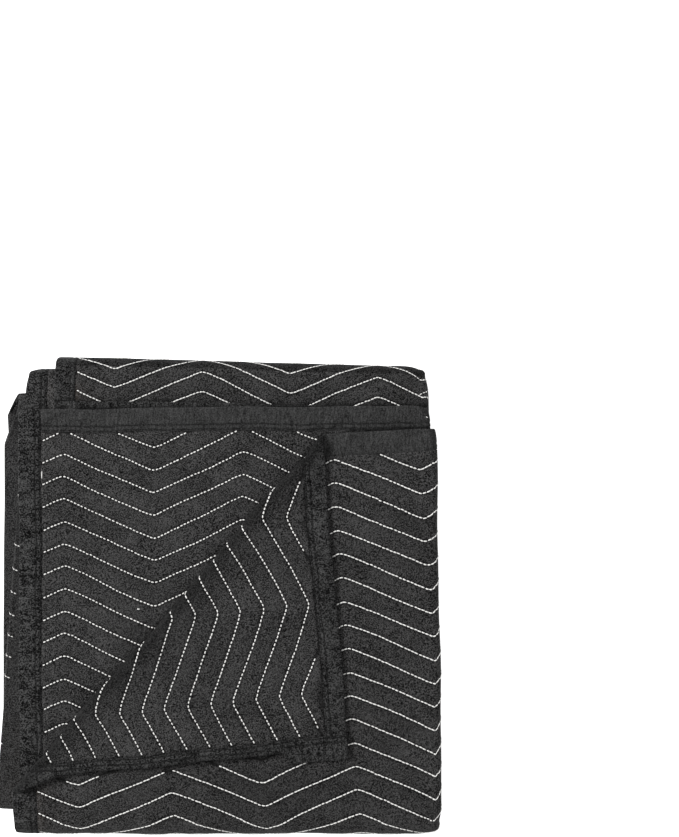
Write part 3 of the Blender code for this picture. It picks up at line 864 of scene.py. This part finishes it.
def open_top(side, end):
    """Places of the top leaf that show: short of the roll and not under the turned corner."""
    flat = fold(side, end, 0.0)[..., :2]
    distance = roll_distance(side, end)
    mirrored = flat + (math.pi * ROLL_RADIUS - 2 * distance)[..., None] * ROLL_TOWARDS
    near, far, back = CROSSINGS[0, 0], CROSSINGS[1, 0], CROSSINGS[0, 1]
    left = near[0] + (mirrored[..., 1] - near[1]) * (far[0] - near[0]) / (far[1] - near[1])
    top = near[1] + (mirrored[..., 0] - near[0]) * (back[1] - near[1]) / (back[0] - near[0])
    covered = (mirrored[..., 0] > left + 0.006) & (mirrored[..., 1] < top - 0.006) & (end <= 1)
    return (distance < 0.002) & ~covered


def fold_runs(crease, bundle):
    """Runs of a place by a side crease of a bundle: distances from the crease's start, along the bundle."""
    arc = SIDE_ARC[crease // 2]

    def runs(across, along):
        before, after = across / PANEL_WIDTH[0], 1 + (across - arc) / PANEL_WIDTH[0]
        side = crease + np.where(across < 0, before, np.where(across > arc, after, across / arc))
        return side, 2 * bundle + np.clip(along / BUNDLE_LENGTH[bundle], 0.002, 0.998)

    return runs


def fold_stitching(stitch, random):
    """Short slanted pieces of the stitch rows where they run round the side creases."""
    rings = []
    for crease in (1, 3, 5):
        arc = SIDE_ARC[crease // 2]
        face = int(SIDE_RUNS[crease][3])

        def base(side, end, face=face):
            return np.full(np.shape(side), face * THICKNESS / 2)

        for bundle in range(4):
            if (crease == 1 and bundle == 0) or (crease == 3 and bundle in (1, 2)):
                continue
            for row in range(16):
                if random.random() < 0.3:
                    continue
                across = np.linspace(-0.004, arc + 0.003, 60)
                middle = 0.018 + TOP_ROWS[1] * row + 0.004 * math.sin(2.3 * crease + 1.7 * bundle + 0.6 * row)
                along = middle + 0.41 * (across - arc / 2) * (1 if crease == 3 else -1)
                rings.append(stitch_rings(
                    across, along, fold_runs(crease, bundle), face, base, stitch, always, random,
                ))
    return rings


# Stray thread ends on the leaf under the top one: start and finish across, start and finish along
LOOSE_STRAY = (0.0266, 0.0266, 0.068, 0.0777)
SEWN_STRAY = (0.128, 0.133, 0.219, 0.219)


def stray_path(stray, count=9):
    """A straight path from a stray thread's start to its finish, by even steps."""
    return np.linspace(stray[0], stray[1], count), np.linspace(stray[2], stray[3], count)


def white_stitching(sizes):
    """The zigzag rows: on the top leaf, on the turned corner, on the leaf under it, and on the one behind."""
    random = np.random.default_rng(11)
    outer = Stitch(sizes.stitch_pitch, sizes.outer_stitch, sizes.thread_width, 0.0010, 0.0005)
    inner = Stitch(sizes.stitch_pitch, sizes.inner_stitch, sizes.thread_width, 0.0011, 0.0008)
    slack = Stitch(sizes.stitch_pitch, sizes.inner_stitch, 0.75 * sizes.thread_width, 0.0008, 0.0006)
    loose = Stitch(0.0095, 0.0088, 0.8 * sizes.thread_width, 0.0012, 0.0004)
    clear = sizes.tape_width + 0.0012

    def base(face):
        return lambda side, end: cloth_height(side, end, face, sizes)

    def on_top(side, end):
        return open_top(side, end) & (end * BUNDLE_LENGTH[0] > clear) & (end < 1.95) & (side < 1.6)

    def on_flap(side, end):
        inside = end * BUNDLE_LENGTH[0] > clear + np.interp(side, (0, 1, 2), EDGE_EXTRA)
        return (roll_distance(side, end) > 0.003) & inside & (end <= 1) & (side <= 1)

    def on_under(side, end):
        flat = fold(side, end, 0.0)[..., :2]
        ahead = (flat - ROLL_CREST) @ ROLL_TOWARDS
        return (ahead > -0.004) & (end * BUNDLE_LENGTH[0] > clear) & (side > 6)

    def on_back(side, end):
        return ((end - 4) * BUNDLE_LENGTH[2] < 0.076) & (end > 3.05) & (side < 1.6)

    def lines(paths, to_runs, face, stitch, keep):
        return [stitch_rings(*path, to_runs, face, base(face), stitch, keep, random) for path in paths]

    width, width_b = PANEL_WIDTH[0], PANEL_WIDTH[3]
    top = row_paths(0, 21, clear, width + 0.020, leaf_row, top_runs)
    flap = row_paths(0, 17, clear, width, leaf_row, top_runs)
    under = row_paths(0, 17, clear, width_b, leaf_row, under_runs)
    back = row_paths(-3, 6, clear, width + 0.020, back_row, back_runs)
    strays = lines([stray_path(LOOSE_STRAY)], under_runs, -1, loose, always)
    strays += lines([stray_path(SEWN_STRAY)], under_runs, -1, inner, always)
    return [
        stitch_piece("stitching_top", lines(top, top_runs, 1, outer, on_top)),
        stitch_piece("stitching_flap", lines(flap, top_runs, -1, inner, on_flap)),
        stitch_piece("stitching_under", lines(under, under_runs, -1, inner, on_under) + strays),
        stitch_piece("stitching_back", lines(back, back_runs, 1, outer, on_back)),
        stitch_piece("stitching_folds", fold_stitching(slack, random)),
    ]


def pucker(run, distance, sizes):
    """Small folds of the tape across its edge, strongest between the two seam lines."""
    seam = np.exp(-((distance - sizes.seam_inner) / 0.0035) ** 2)
    broad = np.exp(-((distance - 0.010) / 0.008) ** 2)
    small = np.sin(run / 0.00150 + 2.2 * np.sin(run / 0.013)) + 0.5 * np.sin(run / 0.00093 + 1.0)
    large = np.sin(run / 0.0071 + 1.7 * np.sin(run / 0.049)) + 0.6 * np.sin(run / 0.0163)
    return 0.00028 * small * seam + 0.00038 * large * broad


def tape_outline(sizes):
    """Outline of the folded tape as distances from the edge and heights, drawn in at its two seam lines."""
    half = THICKNESS / 2
    inner = BOUND_THICKNESS / 2 + CLEARANCE
    outer_seam, inner_seam, width = sizes.seam_outer, sizes.seam_inner, sizes.tape_width
    upper = [(0.0, 0.0), (0.0001, half - 0.0008), (0.0004, half - 0.0003), (0.0011, half)]
    upper += [(0.0012 + 0.0013 * step, half + 0.0003) for step in range(1, 12)]
    upper += [(outer_seam - 0.0015, half), (outer_seam, half - 0.0005), (outer_seam + 0.0014, half)]
    upper += [((outer_seam + inner_seam) / 2, half + 0.0001)]
    upper += [(inner_seam - 0.0012, half), (inner_seam, half - 0.0005), (width - 0.0003, half - 0.0001)]
    upper += [(width, half - 0.0005), (width, inner), (TAPE_WALL, inner)]
    lower = [(distance, -height) for distance, height in reversed(upper[1:])]
    return np.array(upper + lower)


def station_runs(fine, pitch, start, finish):
    """Runs of a tape's stations: close on the leaves that show, wider on the hidden, eight to a crease."""
    parts = [np.array((start,))]
    for flat in range(4):
        count = math.ceil(0.45 / pitch) if flat in fine else 36
        parts.append(2 * flat + np.arange(1, count + 1) / count)
        parts.append(2 * flat + 1 + np.arange(1, 9) / 8)
    runs = np.concatenate(parts)
    return np.concatenate((runs[(runs < finish) & (runs >= start)], (finish,)))


def tape_piece(name, stations, place, sizes):
    """One binding: its outline carried along its edge's stations, with puckers, closed at both ends."""
    outline = tape_outline(sizes)
    distance, height = outline[:, 0], outline[:, 1]
    outside = np.abs(height) >= THICKNESS / 2 - 0.0009
    along = stations[:, None] * 0.44
    fold_line = 0.0004 * np.sin(along / 0.011) + 0.0003 * np.sin(along / 0.0047 + 2)
    heights = height + np.where(outside, np.sign(height) * pucker(along, distance, sizes), 0.0)
    distances = distance + np.where(outside, fold_line * (distance > 0.002), 0.0)
    side, end = place(stations[:, None], distances)
    side, end = np.broadcast_arrays(side, end)
    points = settle(fold(side, end, heights), side, end)
    rows, cols = side.shape
    grid = np.arange(rows * cols).reshape(rows, cols)
    nearer, farther = grid[:-1], grid[1:]
    quads = np.stack((nearer, np.roll(nearer, -1, axis=1), np.roll(farther, -1, axis=1), farther), axis=-1)
    polygons = quads.reshape(-1, 4).tolist() + [grid[0, ::-1].tolist(), grid[-1].tolist()]
    # Painted shade goes in dots along the two seam lines, faintly on the top face of end a's tape
    gap = np.minimum(np.abs(distance - sizes.seam_outer), np.abs(distance - sizes.seam_inner))
    faint = (name == "tape_end_a") & (height > 0) & (side < 2)
    seam = np.exp(-(gap / 0.0009) ** 2) * np.where(faint, 0.1, 1.0)
    run = np.broadcast_to(along, side.shape)
    gap = np.broadcast_to(distance * np.sign(height + 1e-9), side.shape)
    smooth = (name == "tape_end_a") & ((height > 0) | (side > 4))
    # The tape along side b gets a wider, darker grain: painted shade where the key light falls on it most
    tone_spread = 1.3 if name == "tape_side_b" else 1.0
    values = {"seam": seam, "run": run, "gap": gap, "grain_and_shade": np.where(smooth, 0.45, tone_spread)}
    # Painted shade beside overlapping edges, as on the cloth
    values["shade_hollow"] = painted_shade(points, side, end)
    return new_piece(name, points.reshape(-1, 3), polygons, values)


def build_bindings(sizes):
    """The four tapes, each folded over an edge and carried round every crease."""
    first = 0.0001 / BUNDLE_LENGTH[0]
    butt = (sizes.tape_width + CLEARANCE) / PANEL_WIDTH[0]
    last = LAST_RUN - 0.0001 / BUNDLE_LENGTH[3]
    far_butt = LAST_RUN - (sizes.tape_width + CLEARANCE) / PANEL_WIDTH[3]
    fine = sizes.tape_step
    return [
        tape_piece("tape_side_a", station_runs((0, 2), fine, first, last),
                   lambda run, gap: (gap / PANEL_WIDTH[0], run), sizes),
        tape_piece("tape_side_b", station_runs((0, 2), fine, first, last),
                   lambda run, gap: (LAST_RUN - gap / PANEL_WIDTH[3], run), sizes),
        tape_piece("tape_end_a", station_runs((0, 3), fine, butt, far_butt),
                   lambda run, gap: (run, gap / BUNDLE_LENGTH[0]), sizes),
        tape_piece("tape_end_b", station_runs((0, 3), fine, butt, far_butt),
                   lambda run, gap: (run, LAST_RUN - gap / BUNDLE_LENGTH[3]), sizes),
    ]


def seam_stitching(sizes):
    """Black stitches in two lines on the bindings that show."""
    random = np.random.default_rng(23)
    stitch = Stitch(sizes.seam_pitch, 0.72 * sizes.seam_pitch, 0.0009, 0.0007, 0.0003)
    width, length = PANEL_WIDTH[0], BUNDLE_LENGTH[0]
    gaps = (sizes.seam_outer, sizes.seam_inner)
    along_side = np.linspace(0.002, length, 200)
    along_end = np.linspace(sizes.tape_width, width, 200)
    rings = []

    def add(across, along, to_runs, face, keep):
        def base(side, end):
            return np.full(np.shape(side), face * (THICKNESS / 2 - 0.00045))
        rings.append(stitch_rings(across, along, to_runs, face, base, stitch, keep, random))

    def turned(side, end):
        return roll_distance(side, end) > 0.003

    for gap in gaps:
        level = np.full(200, gap)
        add(level, along_side, top_runs, 1, open_top)
        add(level, along_side, top_runs, -1, turned)
        add(along_end, level, top_runs, -1, turned)
        add(level, along_side, under_runs, -1, always)
        add(along_end, level, under_runs, -1, always)
        add(level, np.linspace(0.0, 0.1, 200), back_runs, 1, always)
        add(along_end, level, low_runs, -1, always)
        add(level, along_side, low_under_runs, -1, always)
    return [stitch_piece("seam_stitching", rings)]


class Value:
    """A socket of a node tree with the usual number operators, each a Math node."""

    def __init__(self, graph, socket):
        self.graph = graph
        self.socket = socket

    def combine(self, operation, first, second):
        return self.graph.add("ShaderNodeMath", {"operation": operation}, {0: first, 1: second})

    def __add__(self, other):
        return self.combine("ADD", self, other)

    __radd__ = __add__

    def __mul__(self, other):
        return self.combine("MULTIPLY", self, other)

    __rmul__ = __mul__

    def __sub__(self, other):
        return self.combine("SUBTRACT", self, other)

    def __rsub__(self, other):
        return self.combine("SUBTRACT", other, self)


class Graph:
    """Node tree of a new material with its Principled shader."""

    def __init__(self, name, roughness, sheen=0.0):
        self.material = bpy.data.materials.new(name)
        self.material.use_nodes = True
        self.tree = self.material.node_tree
        self.shader = self.tree.nodes["Principled BSDF"]
        self.shader.inputs["Roughness"].default_value = roughness
        self.shader.inputs["Sheen Weight"].default_value = sheen
        self.shader.inputs["Specular IOR Level"].default_value = 0.08

    def add(self, kind, settings, sockets, output=0):
        """Add a node; sockets maps its inputs to values or to other nodes' sockets."""
        node = self.tree.nodes.new(kind)
        for key, value in settings.items():
            setattr(node, key, value)
        for key, value in sockets.items():
            if isinstance(value, Value):
                self.tree.links.new(value.socket, node.inputs[key])
            else:
                node.inputs[key].default_value = value
        return Value(self, node.outputs[output])

    def place(self):
        return self.add("ShaderNodeTexCoord", {}, {}, "Object")

    def noise(self, place, scale, detail):
        return self.add("ShaderNodeTexNoise", {}, {"Vector": place, "Scale": scale, "Detail": detail})

    def point_value(self, name):
        return self.add("ShaderNodeAttribute", {"attribute_name": name}, {}, "Fac")

    def clamp(self, value):
        return self.add("ShaderNodeClamp", {}, {0: value})

    def mix(self, factor, first, second):
        return self.add("ShaderNodeMix", {"data_type": "RGBA"}, {0: factor, 6: first, 7: second}, 2)

    def bump(self, height, strength, distance):
        return self.add("ShaderNodeBump", {}, {"Height": height, "Strength": strength, "Distance": distance})

    def finish(self, colour, normal=None):
        if isinstance(colour, Value):
            self.tree.links.new(colour.socket, self.shader.inputs["Base Color"])
        else:
            self.shader.inputs["Base Color"].default_value = colour
        if normal:
            self.tree.links.new(normal.socket, self.shader.inputs["Normal"])
        return self.material


def felt_material(colours):
    """Non-woven felt: two charcoal tones in fine grain and soft clouds, painted shade at seams and laps, warm
    in places.
    """
    graph = Graph("charcoal_felt", 0.95, 0.03)
    place = graph.place()
    grain = graph.noise(place, 540.0, 1.0)
    fibre = graph.noise(place, 980.0, 1.0)
    cloud = graph.noise(place, 34.0, 3.0)
    crinkle = graph.noise(place, 190.0, 5.0)
    tone = graph.clamp((grain - 0.5) * 1.7 + (fibre - 0.5) * 3.8 + (cloud - 0.5) * 0.7 + 0.5)
    colour = graph.mix(tone, (*colours.felt_dark, 1), (*colours.felt_light, 1))
    # Painted shade in the grooves along the stitch rows
    colour = graph.mix(graph.clamp(graph.point_value("seam") * 0.85), colour, (*colours.felt_shade, 1))
    warmth = graph.clamp(graph.point_value("warm") * graph.clamp((cloud - 0.3) * 2.4) * 0.4)
    colour = graph.mix(warmth, colour, (*colours.felt_warm, 1))
    # Painted shade beside overlapping edges
    colour = graph.mix(graph.point_value("shade_hollow"), colour, (*colours.felt_shade, 1))
    return graph.finish(colour, graph.bump(grain * 0.5 + fibre * 0.7 + crinkle * 1.4, 0.8, 0.0018))


def tape_material(colours):
    """Smooth non-woven tape, a little finer and darker than the felt, painted shade in dots at its seams and
    at laps.
    """
    graph = Graph("binding_tape_finish", 0.85, 0.02)
    place = graph.place()
    grain = graph.noise(place, 680.0, 1.0)
    cloud = graph.noise(place, 60.0, 3.0)
    grain_and_shade = graph.point_value("grain_and_shade")
    across = graph.add("ShaderNodeCombineXYZ", {}, {
        "X": graph.point_value("run"), "Y": graph.point_value("gap") * 0.3, "Z": 0.0,
    })
    crease = graph.noise(across, 260.0, 3.0)
    tone_spread = (grain - 0.5) * 3.0 + (cloud - 0.5) * 1.0 + (crease - 0.5) * 1.4 - 0.14
    tone = graph.clamp(tone_spread * grain_and_shade + 0.56)
    colour = graph.mix(tone, (*colours.tape_dark, 1), (*colours.tape_light, 1))
    # Painted shade in dots along the seam lines
    dots = graph.clamp((crease - 0.40) * 6.0) * graph.point_value("seam")
    colour = graph.mix(graph.clamp(dots * 0.85), colour, (*colours.felt_shade, 1))
    # Painted shade beside overlapping edges
    colour = graph.mix(graph.point_value("shade_hollow"), colour, (*colours.felt_shade, 1))
    return graph.finish(colour, graph.bump(grain * 0.8 + crease * 2.4, 0.8, 0.0016))


def thread_material(name, colour, shade):
    """Twisted thread: its colour a little uneven."""
    graph = Graph(name, 0.7)
    grain = graph.noise(graph.place(), 800.0, 1.0)
    return graph.finish(graph.mix(grain, (*shade, 1), (*colour, 1)))


def length_property(name, description, default):
    """A positive length in metres."""
    return bpy.props.FloatProperty(
        name=name, description=description, default=default, min=0.0, precision=5, unit="LENGTH",
    )


def colour_property(name, description, default):
    """A linear colour."""
    return bpy.props.FloatVectorProperty(
        name=name, description=description, default=default, size=3, min=0.0, max=1.0, subtype="COLOR",
    )


class MovingPadSizes(bpy.types.PropertyGroup):
    """Sizes of the cloth's detail, its tapes and its stitches."""

    cell: length_property("Cell", "Longest step of the cloth's lines across a leaf", 0.0044)
    groove_width: length_property("Groove Width", "Half width of the hollow along a stitch row", 0.0019)
    groove_depth: length_property("Groove Depth", "How far a stitch row draws the cloth in", 0.0010)
    puff: length_property("Puff", "How far the cloth swells between stitch rows", 0.0003)
    tape_width: length_property("Tape Width", "Width of the binding on each face", 0.0250)
    tape_step: length_property("Tape Step", "Step between the stations of a binding that shows", 0.0017)
    seam_outer: length_property("Outer Seam", "From the edge to the binding's outer seam line", 0.0185)
    seam_inner: length_property("Inner Seam", "From the edge to the binding's inner seam line", 0.0234)
    seam_pitch: length_property("Seam Pitch", "Length of a black stitch with its gap", 0.0032)
    thread_width: length_property("Thread Width", "Width of the white thread", 0.0015)
    stitch_pitch: length_property("Stitch Pitch", "Length of a white stitch with its gap", 0.0041)
    outer_stitch: length_property("Outer Stitch", "Length of a white stitch on the outer face", 0.0041)
    inner_stitch: length_property("Inner Stitch", "Length of a white stitch on the inner face", 0.0034)


class MovingPadColours(bpy.types.PropertyGroup):
    """Colours of the cloth, tapes, threads and floor."""

    felt_dark: colour_property("Felt Dark", "Darker tone of the felt", (0.0, 0.0, 0.0))
    felt_light: colour_property("Felt Light", "Lighter tone of the felt", (0.074, 0.073, 0.073))
    # Colour of the painted shade in the stitch grooves, at the tape's seam lines and beside overlapping edges
    felt_shade: colour_property("Felt Seam", "Tone in the hollows of the seams", (0.003, 0.003, 0.003))
    felt_warm: colour_property("Felt Warm", "Tone of the felt's warm patches", (0.060, 0.044, 0.033))
    tape_dark: colour_property("Tape Dark", "Darker tone of the binding", (0.0, 0.0, 0.0))
    tape_light: colour_property("Tape Light", "Lighter tone of the binding", (0.068, 0.068, 0.068))
    white: colour_property("White Thread", "Colour of the quilting thread", (0.93, 0.92, 0.90))
    white_shade: colour_property("White Thread Shade", "Dark tone of the quilting thread", (0.74, 0.73, 0.71))
    black: colour_property("Black Thread", "Colour of the seam thread", (0.016, 0.016, 0.016))
    black_shade: colour_property("Black Thread Shade", "Dark tone of the seam thread", (0.008, 0.008, 0.008))
    floor: colour_property("Floor", "Colour of the floor", (0.90, 0.90, 0.90))


def dress(pieces, material):
    """Give pieces their finish and slot, and let them move with the pad."""
    for piece in pieces:
        piece.data.materials.append(material)
        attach(piece, "root")


class MOVINGPAD_OT_cloth(bpy.types.Operator):
    """Add the folded quilted cloth"""

    bl_idname = "moving_pad.cloth"
    bl_label = "Add Cloth"

    def execute(self, context):
        cloth = build_cloth(context.scene.moving_pad_sizes)
        dress([cloth], felt_material(context.scene.moving_pad_colours))
        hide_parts("pad")
        return {"FINISHED"}


class MOVINGPAD_OT_bindings(bpy.types.Operator):
    """Add the tapes over the four edges"""

    bl_idname = "moving_pad.bindings"
    bl_label = "Add Bindings"

    def execute(self, context):
        tapes = build_bindings(context.scene.moving_pad_sizes)
        dress(tapes, tape_material(context.scene.moving_pad_colours))
        for tape in tapes:
            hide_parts(tape.name.replace("tape_", "binding_"))
        return {"FINISHED"}


class MOVINGPAD_OT_stitching(bpy.types.Operator):
    bl_idname = "moving_pad.stitching"
    bl_label = "Add Stitching"

    def execute(self, context):
        sizes = context.scene.moving_pad_sizes
        colours = context.scene.moving_pad_colours
        white = white_stitching(sizes)
        finish = thread_material("white_thread_finish", colours.white, colours.white_shade)
        dress(white, finish)
        black = seam_stitching(sizes)
        finish = thread_material("black_thread_finish", colours.black, colours.black_shade)
        dress(black, finish)
        return {"FINISHED"}


# The stage: the floor's half width and glow, the world's strength, the lights as name, place, size and power,
# and the camera's place, sensor and lens
FLOOR_HALF = 8.0
FLOOR_GLOW = 0.8
WORLD_STRENGTH = 0.34
LIGHTS = (("key", (-2.4, 1.2, 2.1), 1.1, 124.0), ("top", (0.3, 0.3, 2.6), 1.2, 14.0))
CAMERA_PLACE = (0.1336, 0.1955, 1.372)
CAMERA_SENSOR = 36.0
CAMERA_LENS = 51.44


class MOVINGPAD_OT_stage(bpy.types.Operator):
    """Add the plain floor, the soft lights and the camera straight above"""

    bl_idname = "moving_pad.stage"
    bl_label = "Add Stage"

    def execute(self, context):
        corners = [(x * FLOOR_HALF, y * FLOOR_HALF, 0) for x, y in ((-1, -1), (1, -1), (1, 1), (-1, 1))]
        floor = new_piece("floor", corners, [[0, 1, 2, 3]])
        graph = Graph("floor_finish", 0.9)
        graph.shader.inputs["Emission Color"].default_value = (1, 1, 1, 1)
        graph.shader.inputs["Emission Strength"].default_value = FLOOR_GLOW
        floor.data.materials.append(graph.finish((*context.scene.moving_pad_colours.floor, 1)))
        world = bpy.data.worlds.new("studio")
        world.use_nodes = True
        world.node_tree.nodes["Background"].inputs["Color"].default_value = (1, 1, 1, 1)
        world.node_tree.nodes["Background"].inputs["Strength"].default_value = WORLD_STRENGTH
        context.scene.world = world
        for name, place, size, power in LIGHTS:
            light = bpy.data.lights.new(name, "AREA")
            light.size = size
            light.energy = power
            lamp = bpy.data.objects.new(name, light)
            lamp.location = place
            lamp.rotation_euler = (-Vector(place)).to_track_quat("-Z", "Y").to_euler()
            context.scene.collection.objects.link(lamp)
        lens = bpy.data.cameras.new("camera")
        lens.sensor_width = CAMERA_SENSOR
        lens.lens = CAMERA_LENS
        camera = bpy.data.objects.new("camera", lens)
        camera.location = CAMERA_PLACE
        context.scene.collection.objects.link(camera)
        context.scene.camera = camera
        context.scene.view_settings.view_transform = "Standard"
        return {"FINISHED"}


OPERATORS = (MOVINGPAD_OT_cloth, MOVINGPAD_OT_bindings, MOVINGPAD_OT_stitching, MOVINGPAD_OT_stage)


class MOVINGPAD_PT_sidebar(bpy.types.Panel):
    """Sizes, colours and steps of the moving pad"""

    bl_label = "Moving Pad"
    bl_space_type = "VIEW_3D"
    bl_region_type = "UI"
    bl_category = "Moving Pad"

    def draw(self, context):
        for group in (context.scene.moving_pad_sizes, context.scene.moving_pad_colours):
            column = self.layout.column(align=True)
            for key in type(group).__annotations__:
                column.prop(group, key)
        for operator in OPERATORS:
            self.layout.operator(operator.bl_idname)


CLASSES = (MovingPadSizes, MovingPadColours, *OPERATORS, MOVINGPAD_PT_sidebar)


def register():
    for entry in CLASSES:
        bpy.utils.register_class(entry)
    bpy.types.Scene.moving_pad_sizes = bpy.props.PointerProperty(type=MovingPadSizes)
    bpy.types.Scene.moving_pad_colours = bpy.props.PointerProperty(type=MovingPadColours)


def unregister():
    del bpy.types.Scene.moving_pad_colours
    del bpy.types.Scene.moving_pad_sizes
    for entry in reversed(CLASSES):
        bpy.utils.unregister_class(entry)


def main():
    register()
    bpy.ops.moving_pad.cloth()
    bpy.ops.moving_pad.bindings()
    bpy.ops.moving_pad.stitching()
    bpy.ops.moving_pad.stage()


if __name__ == "__main__":
    main()
